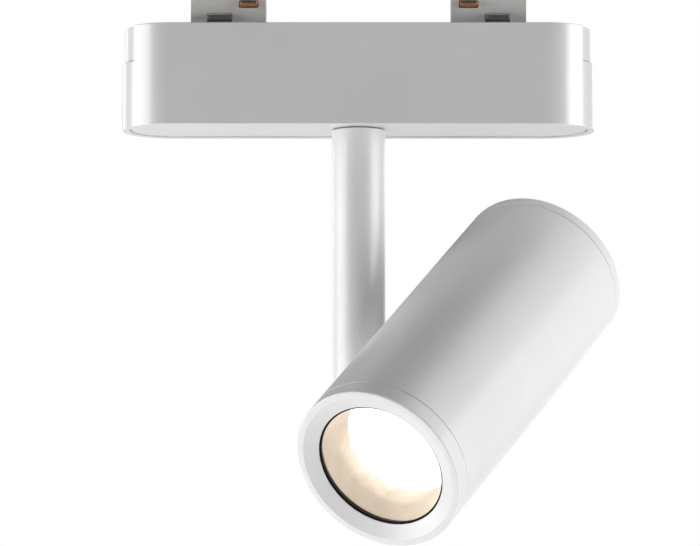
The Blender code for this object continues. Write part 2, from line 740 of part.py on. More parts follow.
def head_shell(finishes, head):
    """Barrel, front bezel and rear cap, the three painted pieces of the head."""
    barrel_front = BEZEL_LENGTH + GAP / 2
    barrel_rear = HEAD_LENGTH - REAR_CAP_LENGTH - GAP / 2
    wall = ring(HEAD_BORE, HEAD_RADIUS, barrel_front, barrel_rear, FINE)
    barrel = piece("head_barrel", wall, finishes["paint"], head)
    cut(barrel, bolt_hole())

    seat = CONE_RADIUS + GAP
    ring_front = MOUTH_DEPTH + GAP
    bezel = [
        (HEAD_RADIUS - 0.7 * MM, 0.0),
        (HEAD_RADIUS - 0.2 * MM, 0.2 * MM),
        (HEAD_RADIUS, 0.7 * MM),
        (HEAD_RADIUS, BEZEL_LENGTH - GAP / 2),
        (SPIGOT_RADIUS, BEZEL_LENGTH - GAP / 2),
        (SPIGOT_RADIUS, BEZEL_SPIGOT_END),
        (seat, BEZEL_SPIGOT_END),
        (seat, ring_front),
        (MOUTH_RADIUS, ring_front),
        (MOUTH_RADIUS, MOUTH_DEPTH),
        (LIP_INNER, 0.0),
    ]
    piece("front_bezel", turned(bezel, FINE), finishes["paint"], head)

    cap_front = HEAD_LENGTH - REAR_CAP_LENGTH + GAP / 2
    inner_face = HEAD_LENGTH - REAR_CAP_THICKNESS
    skirt = SPIGOT_RADIUS - 2.0 * MM
    cap = [
        (0.0, inner_face),
        (skirt, inner_face),
        (skirt, REAR_SPIGOT_START),
        (SPIGOT_RADIUS, REAR_SPIGOT_START),
        (SPIGOT_RADIUS, cap_front),
        (HEAD_RADIUS, cap_front),
        (HEAD_RADIUS, HEAD_LENGTH - 1.0 * MM),
        (HEAD_RADIUS - 0.3 * MM, HEAD_LENGTH - 0.3 * MM),
        (HEAD_RADIUS - 1.0 * MM, HEAD_LENGTH),
        (0.0, HEAD_LENGTH),
    ]
    rear_cap = piece("rear_cap", turned(cap, FINE), finishes["paint"], head)
    hole, counterbore = 1.8 * MM, CAP_SCREW_HEAD + GAP
    floor = HEAD_LENGTH - 1.1 * MM
    sink = [
        (0.0, inner_face - THROUGH),
        (hole, inner_face - THROUGH),
        (hole, floor),
        (counterbore, floor),
        (counterbore, HEAD_LENGTH + THROUGH),
        (0.0, HEAD_LENGTH + THROUGH),
    ]
    cut(rear_cap, *[turned(sink, ARC, place) for place in cap_screw_places()])

    shank, tip, under_head = 1.3 * MM, 112.0 * MM, floor + GAP
    face, socket, socket_floor = HEAD_LENGTH - 0.1 * MM, 1.2 * MM, HEAD_LENGTH - 0.6 * MM
    screw = [
        (0.0, tip),
        (shank, tip),
        (shank, under_head),
        (CAP_SCREW_HEAD, under_head),
        (CAP_SCREW_HEAD, face),
        (socket, face),
        (socket, socket_floor),
        (0.0, socket_floor),
    ]
    for number, place in enumerate(cap_screw_places(), 1):
        shape = turned(screw, ARC, place)
        piece(f"cap_screw_{number}", shape, finishes["steel"], head, (*place, HEAD_LENGTH))


def cap_screw_places():
    angles = [math.tau * number / 3 for number in range(3)]
    return [(CAP_SCREW_PLACE * math.cos(a), CAP_SCREW_PLACE * math.sin(a)) for a in angles]


def bolt_hole():
    """The pivot bolt's way through the head's wall."""
    return raised_by(along_x(rod(BOLT_RADIUS + GAP, -36.0 * MM, -20.0 * MM, COARSE)), PIVOT_DEPTH)


def saddles(finishes, head):
    """Pads between the barrel's round wall and the flat washers of the tilt pivot."""
    front, back = PIVOT_DEPTH - 26.4 * MM, PIVOT_DEPTH + 23.6 * MM
    outer_face = BOSS_END + 4 * GAP - HEAD_OFFSET
    outer = rod(SADDLE_RADIUS, outer_face, -27.0 * MM, COARSE)
    outer_saddle = piece("outer_saddle", raised_by(along_x(outer), PIVOT_DEPTH), finishes["paint"], head)
    cut(outer_saddle, rod(HEAD_RADIUS + GAP, front, back, FINE))
    inner_face = BOLT_HEAD_START - 4 * GAP - HEAD_OFFSET
    inner = rod(SADDLE_RADIUS, -29.0 * MM, inner_face, COARSE)
    inner_saddle = piece("inner_saddle", raised_by(along_x(inner), PIVOT_DEPTH), finishes["zinc"], head)
    combine(inner_saddle, "INTERSECT", rod(SPIGOT_RADIUS, front, back, FINE))
    for saddle in (outer_saddle, inner_saddle):
        cut(saddle, bolt_hole())


def optics(finishes, head):
    """What lies in the light's path, from the mouth back to the emitter."""
    ring_front = MOUTH_DEPTH + 2 * GAP
    ring_back = ring_front + 1.4 * MM
    ring_shape = ring(MOUTH_RADIUS, CONE_RADIUS, ring_front, ring_back, FINE)
    piece("mouth_ring", ring_shape, finishes["black"], head)
    rim_front, rim_back = ring_back + GAP, ring_back + 1.7 * MM
    lens_rim, seat, skirt_end = LENS_RADIUS + GAP, LENS_RADIUS + 1.4 * MM, 23.0 * MM
    cone = [
        (22.6 * MM, rim_front),
        (CONE_RADIUS, rim_front),
        (CONE_RADIUS, rim_back),
        (23.7 * MM, rim_back),
        (seat, 17.0 * MM),
        (seat, skirt_end),
        (lens_rim, skirt_end),
        (lens_rim, LENS_DEPTH - GAP),
        (20.2 * MM, LENS_DEPTH - GAP - 0.2 * MM),
    ]
    piece("reflector_cone", turned(cone, FINE), finishes["champagne"], head)
    lens = [
        (0.0, LENS_DEPTH),
        (LENS_RADIUS, LENS_DEPTH),
        (LENS_RADIUS, LENS_DEPTH + 1.8 * MM),
        (14.0 * MM, LENS_DEPTH + 2.8 * MM),
        (7.0 * MM, LENS_DEPTH + 3.4 * MM),
        (0.0, LENS_DEPTH + 3.6 * MM),
    ]
    piece("lens", turned(lens, FINE), finishes["lens"], head)

    front, back = 24.2 * MM, 41.5 * MM
    bowl = [parabola(step / 4, front, back) for step in range(5)]
    shell = [(radius + 1.0 * MM, depth) for radius, depth in reversed(bowl[1:])]
    rim = 22.3 * MM
    flange = [(LENS_RADIUS, front + 1.0 * MM), (rim, front + 1.0 * MM), (rim, front)]
    piece("inner_reflector", turned(bowl + shell + flange, MEDIUM), finishes["mirror"], head)

    holder = ring(6.3 * MM, 13.0 * MM, 41.9 * MM, LED_DEPTH, MEDIUM)
    piece("led_holder", holder, finishes["plastic"], head)
    emitter = rod(5.6 * MM, LED_DEPTH - 1.0 * MM, LED_DEPTH, MEDIUM)
    piece("led_emitter", emitter, finishes["phosphor"], head)
    board_front = LED_DEPTH + GAP
    board_back = board_front + 1.4 * MM
    disc = rod(19.0 * MM, board_front, board_back, MEDIUM)
    board = piece("led_board", disc, finishes["board_white"], head)
    cut(board, rod(LED_HOLE, LED_DEPTH - THROUGH, board_back + THROUGH, ARC, (LEAD_X, 0.0)))


def parabola(share, front, back):
    """(radius, depth) on the reflector's bowl, from its wide front to its narrow back."""
    wide, narrow = 20.0 * MM, 6.6 * MM
    radius = wide + (narrow - wide) * share
    fall = (wide**2 - radius**2) / (wide**2 - narrow**2)
    return radius, front + (back - front) * fall


def heat_sink(aluminium, head):
    """A solid base behind the LED board, with fins and screw pillars that run back to the rear cap."""
    base_front = LED_DEPTH + 2.0 * MM
    base_back = base_front + 6.0 * MM
    rear = 118.0 * MM
    core, tip, half = 8.0 * MM, 19.5 * MM, 0.8 * MM
    outline = []
    for number in range(FIN_COUNT):
        angle = math.tau * (number + 0.5) / FIN_COUNT
        root = math.asin(half / core)
        end = math.asin(half / tip)
        for radius, swing in ((core, -root), (tip, -end), (tip, end), (core, root)):
            outline.append((radius * math.cos(angle + swing), radius * math.sin(angle + swing)))
    sink = piece("heat_sink", extruded(outline, base_back - 0.5 * MM, rear), aluminium, head)
    add(sink, rod(SPIGOT_RADIUS, base_front, base_back, FINE))
    pillar, pillar_start, pillar_end = 3.7 * MM, base_back - 0.7 * MM, rear + 3.0 * MM
    add(sink, *[rod(pillar, pillar_start, pillar_end, ARC, place) for place in cap_screw_places()])
    lead_hole = rod(LED_HOLE, base_front - THROUGH, base_back + THROUGH, ARC, (LEAD_X, 0.0))
    bore, bore_start = 1.6 * MM, rear - 8.0 * MM
    screw_holes = [rod(bore, bore_start, pillar_end + THROUGH, ARC, place) for place in cap_screw_places()]
    cut(sink, lead_hole, *screw_holes)


def head_lead(lead, head):
    start = LEAD_X - LEAD_BEND
    path = []
    for step in range(BEND_STEPS + 1):
        angle = math.pi / 2 * step / BEND_STEPS
        along, forward = LEAD_BEND * math.sin(angle), LEAD_BEND * (1 - math.cos(angle))
        path.append((start + along, 0.0, PIVOT_DEPTH - forward))
    path.append((LEAD_X, 0.0, LED_DEPTH + 0.2 * MM))
    tube("head_lead", path, LEAD_RADIUS, lead, head)


def make_finishes():
    return {
        "paint": finish("white_paint", (0.83, 0.83, 0.83), 0.5),
        "plastic": finish("white_plastic", (0.85, 0.85, 0.84), 0.42),
        "adapter": finish("adapter_plastic", (0.78, 0.78, 0.77), 0.5),
        "steel": finish("screw_steel", (0.55, 0.55, 0.56), 0.3, 1.0),
        "spring_steel": finish("spring_steel", (0.45, 0.46, 0.48), 0.3, 1.0),
        "zinc": finish("zinc_plate", (0.62, 0.62, 0.64), 0.38, 1.0),
        "copper": finish("contact_copper", (0.85, 0.52, 0.32), 0.3, 1.0),
        "acetal": finish("acetal", (0.8, 0.8, 0.77), 0.4),
        "board": finish("circuit_board", (0.05, 0.28, 0.12), 0.5),
        "board_white": finish("led_circuit_board", (0.82, 0.82, 0.8), 0.45),
        "ferrite": finish("ferrite", (0.09, 0.09, 0.1), 0.6),
        "sleeve": finish("capacitor_sleeve", (0.04, 0.05, 0.09), 0.35),
        "terminal": finish("terminal_plastic", (0.1, 0.32, 0.2), 0.45),
        "lead": finish("lead_jacket", (0.78, 0.78, 0.76), 0.5),
        "brown": finish("live_jacket", (0.22, 0.1, 0.04), 0.45),
        "blue": finish("neutral_jacket", (0.03, 0.12, 0.5), 0.45),
        "green": finish("earth_jacket", (0.12, 0.4, 0.06), 0.45),
        "black": finish("black_ring", (0.015, 0.013, 0.012), 0.4),
        "champagne": finish("champagne_satin", (0.8, 0.69, 0.58), 0.35, 0.3),
        "lens": finish("lens_plastic", (1.0, 0.97, 0.9), 0.2),
        "mirror": finish("vapour_aluminium", (0.9, 0.9, 0.9), 0.08, 1.0),
        "phosphor": finish("phosphor", (0.95, 0.78, 0.3), 0.6),
        "aluminium": finish("raw_aluminium", (0.72, 0.73, 0.74), 0.35, 1.0),
    }


def main():
    clear_scene()
    finishes = make_finishes()
    pan = pivot("pan_axis", (0.0, 0.0, 0.0), (0.0, 0.0, -PAN_ANGLE))
    tilt = pivot("tilt_axis", (0.0, 0.0, PIVOT_Z), (-TILT_ANGLE, 0.0, 0.0), pan)
    head = pivot("head_front", (HEAD_OFFSET, 0.0, -PIVOT_DEPTH), (0.0, 0.0, 0.0), tilt)

    driver_housing(finishes["paint"])
    bottom_plate(finishes["paint"])
    housing_screws(finishes["steel"])
    driver_parts(finishes)
    housing_leads(finishes)
    for side_name, side, contact_sides in (("left", -1, (-1,)), ("right", 1, (-1, 1))):
        adapter_block(f"adapter_block_{side_name}", side, contact_sides, finishes["adapter"])
        release_tab(f"release_tab_{side_name}", side, finishes["plastic"])
        tab_spring(f"tab_spring_{side_name}", side, finishes["spring_steel"])
        for y_name, y_side in (("front", -1), ("back", 1)):
            lock_fin(f"lock_fin_{side_name}_{y_name}", side, y_side, finishes["steel"])
    contact("live_contact", 1, 1, finishes["copper"])
    contact("neutral_contact", 1, -1, finishes["copper"])
    contact("earth_contact", -1, -1, finishes["copper"])

    pan_pieces(finishes, pan)
    stem_pieces(finishes, pan)
    head_shell(finishes, head)
    saddles(finishes, head)
    optics(finishes, head)
    heat_sink(finishes["aluminium"], head)
    head_lead(finishes["lead"], head)


main()
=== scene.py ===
"""Looks of the track spotlight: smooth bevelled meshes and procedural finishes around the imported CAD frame.

The frame hangs from its track seat at z = 0, with +X along the track. Values are in metres.
"""

import json
import math

import bmesh
import bpy
from mathutils import Matrix, Vector

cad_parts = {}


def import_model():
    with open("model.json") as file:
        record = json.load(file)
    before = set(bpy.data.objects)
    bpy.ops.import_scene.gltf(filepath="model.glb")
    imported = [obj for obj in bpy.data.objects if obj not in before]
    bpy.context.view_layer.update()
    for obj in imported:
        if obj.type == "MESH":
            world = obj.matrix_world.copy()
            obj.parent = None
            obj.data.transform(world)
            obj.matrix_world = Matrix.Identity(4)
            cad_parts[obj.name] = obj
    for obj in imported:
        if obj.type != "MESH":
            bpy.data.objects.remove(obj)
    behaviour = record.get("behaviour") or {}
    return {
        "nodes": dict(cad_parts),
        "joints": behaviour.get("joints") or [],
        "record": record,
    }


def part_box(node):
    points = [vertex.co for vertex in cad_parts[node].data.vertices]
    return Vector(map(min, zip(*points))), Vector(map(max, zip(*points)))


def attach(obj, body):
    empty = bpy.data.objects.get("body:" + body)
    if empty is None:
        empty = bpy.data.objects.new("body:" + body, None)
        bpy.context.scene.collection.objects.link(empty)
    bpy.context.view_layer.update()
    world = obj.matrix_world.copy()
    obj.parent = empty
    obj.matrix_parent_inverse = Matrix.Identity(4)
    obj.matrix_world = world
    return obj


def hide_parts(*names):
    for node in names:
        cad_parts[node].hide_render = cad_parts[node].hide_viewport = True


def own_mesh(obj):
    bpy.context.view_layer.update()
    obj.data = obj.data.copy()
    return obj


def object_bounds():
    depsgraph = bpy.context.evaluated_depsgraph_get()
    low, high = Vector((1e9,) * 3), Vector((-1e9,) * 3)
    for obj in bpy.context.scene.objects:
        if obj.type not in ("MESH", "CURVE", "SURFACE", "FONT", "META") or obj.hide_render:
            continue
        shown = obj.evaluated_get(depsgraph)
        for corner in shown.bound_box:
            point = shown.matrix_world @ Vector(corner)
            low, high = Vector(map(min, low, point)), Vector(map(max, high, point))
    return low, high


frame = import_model()
CAD_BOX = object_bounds()

MM = 0.001
SIDES = 160  # large round pieces
MEDIUM_SIDES = 96
FEW_SIDES = 48  # small round pieces
ARC_STEPS = 45  # a half circle of the housing's outline
FILLET_STEPS = 5
ON_AXIS = 1e-7  # a smaller radius is a point on the axis
BEVEL_ANGLE = math.radians(32)
SHARP_ANGLE = math.radians(40)


# Places in the frame

def basis(x_axis):
    """Axes with the given horizontal X and with Z up."""
    x = Vector(x_axis).normalized()
    z = Vector((0.0, 0.0, 1.0))
    y = z.cross(x)
    return Matrix((x, y, z)).transposed().to_4x4()


def box_in(place, node):
    """Lowest and highest corner of a CAD node, along the axes of another frame."""
    into = place.inverted()
    points = [into @ v.co for v in frame["nodes"][node].data.vertices]
    low = Vector([min(p[axis] for p in points) for axis in range(3)])
    high = Vector([max(p[axis] for p in points) for axis in range(3)])
    return low, high


JOINTS = {joint["name"]: joint for joint in frame["joints"]}
TILT = JOINTS["head_tilt"]
ACROSS = -Vector(TILT["axis"])  # from the stem towards the head
SWING = math.radians(-TILT["range_deg"][0])  # from straight down to rest

STEM = basis(ACROSS)
PIVOT = Matrix.Translation(TILT["pos_m"]) @ STEM  # X runs along the tilt axis
TILTED = PIVOT @ Matrix.Rotation(-SWING, 4, "X")
BEZEL_LOW, BEZEL_HIGH = box_in(TILTED, "front_bezel")
HEAD_OFFSET = (BEZEL_LOW.x + BEZEL_HIGH.x) / 2
HEAD = TILTED @ Matrix.Translation((HEAD_OFFSET, 0.0, BEZEL_LOW.z))  # Z is the depth behind the front face
PIVOT_DEPTH = (HEAD.inverted() @ PIVOT.translation).z


# Mesh making

def object_from(shape, name):
    """An object from a bmesh, which it frees."""
    bmesh.ops.recalc_face_normals(shape, faces=shape.faces)
    mesh = bpy.data.meshes.new(name)
    shape.to_mesh(mesh)
    shape.free()
    obj = bpy.data.objects.new(name, mesh)
    bpy.context.scene.collection.objects.link(obj)
    return obj


def settle(obj):
    """Replace an object's mesh by what its modifiers make of it."""
    graph = bpy.context.evaluated_depsgraph_get()
    mesh = bpy.data.meshes.new_from_object(obj.evaluated_get(graph))
    obj.modifiers.clear()
    obj.data = mesh


def boolean(obj, operation, shapes):
    """Add shapes to an object, or cut them out of it, one after the other."""
    for shape in shapes:
        tool = object_from(shape, "tool")
        modifier = obj.modifiers.new("shape", "BOOLEAN")
        modifier.operation = operation
        modifier.solver = "EXACT"
        modifier.object = tool
        settle(obj)
        bpy.data.objects.remove(tool, do_unlink=True)


def rounded(corners, steps=FILLET_STEPS):
    """A closed outline from (x, y, radius) corners, with a true arc at each corner that has a radius."""
    points = []
    count = len(corners)
    for i, (x, y, radius) in enumerate(corners):
        here = Vector((x, y))
        if radius <= 0.0:
            points.append(here)
            continue
        before = (Vector(corners[i - 1][:2]) - here).normalized()
        after = (Vector(corners[(i + 1) % count][:2]) - here).normalized()
        half = before.angle(after) / 2
        centre = here + (before + after).normalized() * (radius / math.sin(half))
        first = here + before * (radius / math.tan(half)) - centre
        last = here + after * (radius / math.tan(half)) - centre
        turn = first.angle_signed(last)
        for step in range(steps + 1):
            spin = Matrix.Rotation(-turn * step / steps, 2)
            points.append(centre + spin @ first)
    return points


def turned(corners, sides=SIDES, centre=(0.0, 0.0)):
    """A solid turned about Z from (radius, height, fillet) corners."""
    profile = rounded(corners)
    shape = bmesh.new()
    rings = []
    for radius, height in profile:
        if radius < ON_AXIS:
            rings.append([shape.verts.new((centre[0], centre[1], height))])
            continue
        ring = []
        for side in range(sides):
            angle = math.tau * side / sides
            x = centre[0] + radius * math.cos(angle)
            y = centre[1] + radius * math.sin(angle)
            ring.append(shape.verts.new((x, y, height)))
        rings.append(ring)
    for lower, upper in zip(rings, rings[1:] + rings[:1]):
        if len(lower) == 1 and len(upper) == 1:
            continue
        for side in range(sides):
            after = (side + 1) % sides
            corners_of_face = [lower[side % len(lower)], lower[after % len(lower)]]
            corners_of_face += [upper[after % len(upper)], upper[side % len(upper)]]
            unique = list(dict.fromkeys(corners_of_face))
            if len(unique) > 2:
                shape.faces.new(unique)
    return shape


def extruded(outline, bottom, top):
    """A solid with an outline of (x, y) points, between two heights."""
    shape = bmesh.new()
    face = shape.faces.new([shape.verts.new((x, y, bottom)) for x, y in outline])
    swept = bmesh.ops.extrude_face_region(shape, geom=[face])
    raised = [item for item in swept["geom"] if isinstance(item, bmesh.types.BMVert)]
    bmesh.ops.translate(shape, verts=raised, vec=(0.0, 0.0, top - bottom))
    return shape


def block(low, high):
    outline = [(low[0], low[1]), (high[0], low[1]), (high[0], high[1]), (low[0], high[1])]
    return extruded(outline, low[2], high[2])


def arc_points(centre, radius, start, end, steps):
    angles = [start + (end - start) * step / steps for step in range(steps + 1)]
    return [(centre[0] + radius * math.cos(a), centre[1] + radius * math.sin(a)) for a in angles]


def stadium(half_width, centre_x):
    """An outline with two half circles, joined by straight sides."""
    quarter = math.pi / 2
    right = arc_points((centre_x, 0.0), half_width, -quarter, quarter, ARC_STEPS)
    left = arc_points((-centre_x, 0.0), half_width, quarter, 3 * quarter, ARC_STEPS)
    return right + left


def along_x(shape):
    """Turn a shape made about Z so that its +Z points along +X."""
    shape.transform(Matrix.Rotation(math.radians(90), 4, "Y"))
    return shape


def crosswise(outline, start, end):
    """A solid with an outline of (y, z) points, between two places along X."""
    shape = extruded(outline, start, end)
    shape.transform(Matrix(((0, 0, 1, 0), (1, 0, 0, 0), (0, 1, 0, 0), (0, 0, 0, 1))))
    return shape


def split_faces(shape, places):
    """Divide the faces along y = 0 and at places along x, so that no flat face has a hole in it."""
    cuts = [((0.0, 0.0, 0.0), (0.0, 1.0, 0.0))] + [((x, 0.0, 0.0), (1.0, 0.0, 0.0)) for x in places]
    for point, normal in cuts:
        everything = shape.verts[:] + shape.edges[:] + shape.faces[:]
        bmesh.ops.bisect_plane(shape, geom=everything, plane_co=point, plane_no=normal)
    return shape


def smooth(obj, bevel=0.0, segments=3):
    """Round the sharp edges, and shade flats flat and rounds round."""
    obj.data.shade_smooth()
    if bevel > 0.0:
        modifier = obj.modifiers.new("edges", "BEVEL")
        modifier.width = bevel
        modifier.segments = segments
        modifier.limit_method = "ANGLE"
        modifier.angle_limit = BEVEL_ANGLE
        modifier.use_clamp_overlap = False
        modifier.loop_slide = False
        modifier.miter_outer = "MITER_ARC"
    else:
        obj.data.set_sharp_from_angle(angle=SHARP_ANGLE)
    weighted = obj.modifiers.new("normals", "WEIGHTED_NORMAL")
    weighted.weight = 100
    weighted.keep_sharp = True


# Finishes

class Finish:
    """A Principled material whose colour, roughness and bump are worked out in the piece's own space."""

    def __init__(self, name, roughness, metallic=0.0):
        self.material = bpy.data.materials.new(name)
        self.material.use_nodes = True
        self.nodes = self.material.node_tree.nodes
        self.links = self.material.node_tree.links
        self.shader = self.nodes["Principled BSDF"]
        self.shader.inputs["Metallic"].default_value = metallic
        self.shader.inputs["Roughness"].default_value = roughness
        self.place = self.nodes.new("ShaderNodeTexCoord").outputs["Object"]
        self.normal = None

    def stretched(self, scale):
        """The piece's coordinates, multiplied along each axis."""
        node = self.nodes.new("ShaderNodeMapping")
        node.inputs["Scale"].default_value = scale
        self.links.new(self.place, node.inputs["Vector"])
        return node.outputs["Vector"]

    def noise(self, size, detail=2.0, place=None):
        """Noise with grains of about the given size."""
        node = self.nodes.new("ShaderNodeTexNoise")
        node.inputs["Scale"].default_value = 1.0 / size
        node.inputs["Detail"].default_value = detail
        self.links.new(place or self.place, node.inputs["Vector"])
        return node.outputs["Fac"]

    def cells(self, size):
        """How far a point lies from the middle of its cell, in cells of about the given size."""
        node = self.nodes.new("ShaderNodeTexVoronoi")
        node.inputs["Scale"].default_value = 1.0 / size
        self.links.new(self.place, node.inputs["Vector"])
        return node.outputs["Distance"]

    def bands(self, size, direction="Z", wobble=0.0):
        """Bands a given distance apart. Across Z they ring a turned piece like grooves."""
        node = self.nodes.new("ShaderNodeTexWave")
        node.wave_type = "BANDS"
        node.bands_direction = direction
        node.inputs["Scale"].default_value = math.pi / 10 / size
        node.inputs["Distortion"].default_value = wobble
        node.inputs["Detail"].default_value = 2.0
        node.inputs["Detail Scale"].default_value = 2.0
        self.links.new(self.place, node.inputs["Vector"])
        return node.outputs["Fac"]

    def spread(self, share, low, high, start=0.3, end=0.7):
        """A share between start and end as a value between low and high."""
        node = self.nodes.new("ShaderNodeMapRange")
        node.inputs["From Min"].default_value = start
        node.inputs["From Max"].default_value = end
        node.inputs["To Min"].default_value = low
        node.inputs["To Max"].default_value = high
        self.links.new(share, node.inputs["Value"])
        return node.outputs["Result"]

    def along(self, direction):
        """How far along a direction a point lies from the piece's origin."""
        node = self.nodes.new("ShaderNodeVectorMath")
        node.operation = "DOT_PRODUCT"
        node.inputs[1].default_value = direction
        self.links.new(self.place, node.inputs[0])
        return node.outputs["Value"]

    def from_axis(self):
        """How far from its Z axis a point lies."""
        node = self.nodes.new("ShaderNodeVectorMath")
        node.operation = "LENGTH"
        self.links.new(self.stretched((1.0, 1.0, 0.0)), node.inputs[0])
        return node.outputs["Value"]

    def product(self, first, second):
        node = self.nodes.new("ShaderNodeMath")
        node.operation = "MULTIPLY"
        self.links.new(first, node.inputs[0])
        self.links.new(second, node.inputs[1])
        return node.outputs["Value"]

    def blend(self, share, first, second):
        """Two colours, or sockets with colours, mixed by a share."""
        node = self.nodes.new("ShaderNodeMix")
        node.data_type = "RGBA"
        self.links.new(share, node.inputs[0])
        for socket, colour in ((node.inputs[6], first), (node.inputs[7], second)):
            if isinstance(colour, tuple):
                socket.default_value = (*colour, 1.0)
            else:
                self.links.new(colour, socket)
        return node.outputs[2]

    def colour(self, socket):
        self.links.new(socket, self.shader.inputs["Base Color"])

    def roughness(self, socket):
        self.links.new(socket, self.shader.inputs["Roughness"])

    def emission(self, socket):
        self.links.new(socket, self.shader.inputs["Emission Color"])

    def bump(self, height, depth, strength=1.0):
        """Raise the surface by a height map of the given depth, on top of earlier bumps."""
        node = self.nodes.new("ShaderNodeBump")
        node.inputs["Strength"].default_value = strength
        node.inputs["Distance"].default_value = depth
        self.links.new(height, node.inputs["Height"])
        if self.normal is not None:
            self.links.new(self.normal, node.inputs["Normal"])
        self.normal = node.outputs["Normal"]
        self.links.new(self.normal, self.shader.inputs["Normal"])

    def set(self, **values):
        """Fixed values of shader sockets, named with underscores for spaces."""
        for name, value in values.items():
            self.shader.inputs[name.replace("_", " ")].default_value = value


def powder_coat():
    """Satin white powder coat, with the soft orange peel of the cured powder."""
    finish = Finish("powder_coat", 0.4)
    drift = finish.noise(22 * MM, 2.0)
    finish.colour(finish.blend(finish.spread(drift, 0.0, 1.0), (0.79, 0.795, 0.8), (0.82, 0.82, 0.815)))
    finish.roughness(finish.spread(finish.noise(2.4 * MM, 3.0), 0.3, 0.38))
    finish.bump(finish.noise(1.1 * MM, 1.0), 0.012 * MM, 0.7)
    finish.bump(finish.noise(0.28 * MM, 1.0), 0.002 * MM, 0.6)
    finish.set(Specular_IOR_Level=0.8)
    return finish.material


def moulded_white():
    """White plastic from a spark-eroded mould: a fine even grain."""
    finish = Finish("moulded_white", 0.25)
    drift = finish.noise(30 * MM, 2.0)
    finish.colour(finish.blend(finish.spread(drift, 0.0, 1.0), (0.735, 0.735, 0.735), (0.765, 0.765, 0.76)))
    finish.roughness(finish.spread(finish.noise(14 * MM, 2.0), 0.285, 0.31))
    finish.bump(finish.noise(0.6 * MM, 1.0), 0.0008 * MM, 0.3)
    finish.set(Specular_IOR_Level=1.0, Coat_Weight=0.5, Coat_Roughness=0.2)
    return finish.material


def adapter_plastic():
    """Glass-filled white polyamide: greyer, with streaks of flow along the block."""
    finish = Finish("adapter_plastic", 0.5)
    streaks = finish.noise(1.5 * MM, 3.0, finish.stretched((0.15, 1.0, 1.0)))
    finish.colour(finish.blend(finish.spread(streaks, 0.0, 1.0), (0.72, 0.72, 0.7), (0.78, 0.78, 0.76)))
    finish.roughness(finish.spread(streaks, 0.42, 0.58))
    finish.bump(finish.noise(0.3 * MM, 2.0), 0.006 * MM, 0.6)
    return finish.material


def black_ring():
    """Black anodised ring with fine turning grooves."""
    finish = Finish("black_ring", 0.3)
    finish.colour(finish.blend(finish.noise(2.0 * MM), (0.003, 0.0025, 0.002), (0.007, 0.006, 0.005)))
    finish.roughness(finish.spread(finish.noise(1.0 * MM, 3.0), 0.29, 0.38))
    finish.bump(finish.bands(0.12 * MM), 0.003 * MM, 0.4)
    finish.set(Specular_IOR_Level=0.15)
    return finish.material


def champagne():
    """Satin champagne cone: warm anodised metal with turning grooves and a faint mottle.

    A painted reflection of the lens, as emission on the cone: brightest near the lens, on the side of its +Y
    and -X axes.
    """
    finish = Finish("champagne", 0.34, metallic=0.35)
    mottle = finish.noise(6.0 * MM, 3.0)
    finish.colour(finish.blend(finish.spread(mottle, 0.0, 1.0), (0.6, 0.525, 0.455), (0.68, 0.6, 0.525)))
    finish.roughness(finish.spread(finish.noise(1.2 * MM, 3.0), 0.29, 0.4))
    finish.bump(finish.bands(0.25 * MM, wobble=0.4), 0.004 * MM, 0.5)
    # Painted reflection of the lens: an emission mask, strongest towards +Y and -X and near the lens, and
    # mottled.
    reflection_side = finish.spread(finish.along((-0.71, 0.71, 0.0)), 0.0, 1.0, 9 * MM, 20 * MM)
    reflection_depth = finish.spread(finish.along((0.0, 0.0, 1.0)), 0.0, 1.0, 12 * MM, 20 * MM)
    painted_lens_reflection = finish.product(finish.product(reflection_side, reflection_depth), finish.spread(mottle, 0.6, 1.3))
    finish.emission(finish.blend(painted_lens_reflection, (0.0, 0.0, 0.0), (0.55, 0.5, 0.42)))
    finish.set(Emission_Strength=1.0)
    return finish.material


def lit_lens():
    """Frosted lens with a fine honeycomb of lenslets, lit from behind and warmer towards its rim."""
    finish = Finish("lit_lens", 0.35)
    lenslets = finish.cells(0.9 * MM)
    finish.colour(finish.blend(lenslets, (0.95, 0.93, 0.88), (0.85, 0.82, 0.76)))
    finish.bump(lenslets, 0.08 * MM, 0.5)
    rim = finish.spread(finish.from_axis(), 0.0, 1.0, 12 * MM, 20.5 * MM)
    finish.emission(finish.blend(rim, (1.0, 0.97, 0.9), (1.0, 0.9, 0.76)))
    finish.set(Emission_Strength=1.15)
    return finish.material


def metal(name, colour, roughness, grain, depth, along=(1.0, 1.0, 1.0)):
    """Bare metal, with grain that can be drawn out along an axis."""
    finish = Finish(name, roughness, metallic=1.0)
    streaks = finish.noise(grain, 3.0, finish.stretched(along))
    darker = tuple(0.86 * channel for channel in colour)
    finish.colour(finish.blend(finish.spread(streaks, 0.0, 1.0), darker, colour))
    finish.roughness(finish.spread(finish.noise(1.6 * grain, 3.0), roughness - 0.08, roughness + 0.1))
    finish.bump(streaks, depth, 0.5)
    return finish.material


def dull(name, dark, light, roughness, grain, depth):
    """Plastic, ceramic or board with a mottled colour and a fine grain."""
    finish = Finish(name, roughness)
    finish.colour(finish.blend(finish.spread(finish.noise(8 * grain, 3.0), 0.0, 1.0), dark, light))
    finish.roughness(finish.spread(finish.noise(3 * grain, 2.0), roughness - 0.07, roughness + 0.09))
    finish.bump(finish.noise(grain, 2.0), depth, 0.5)
    return finish.material


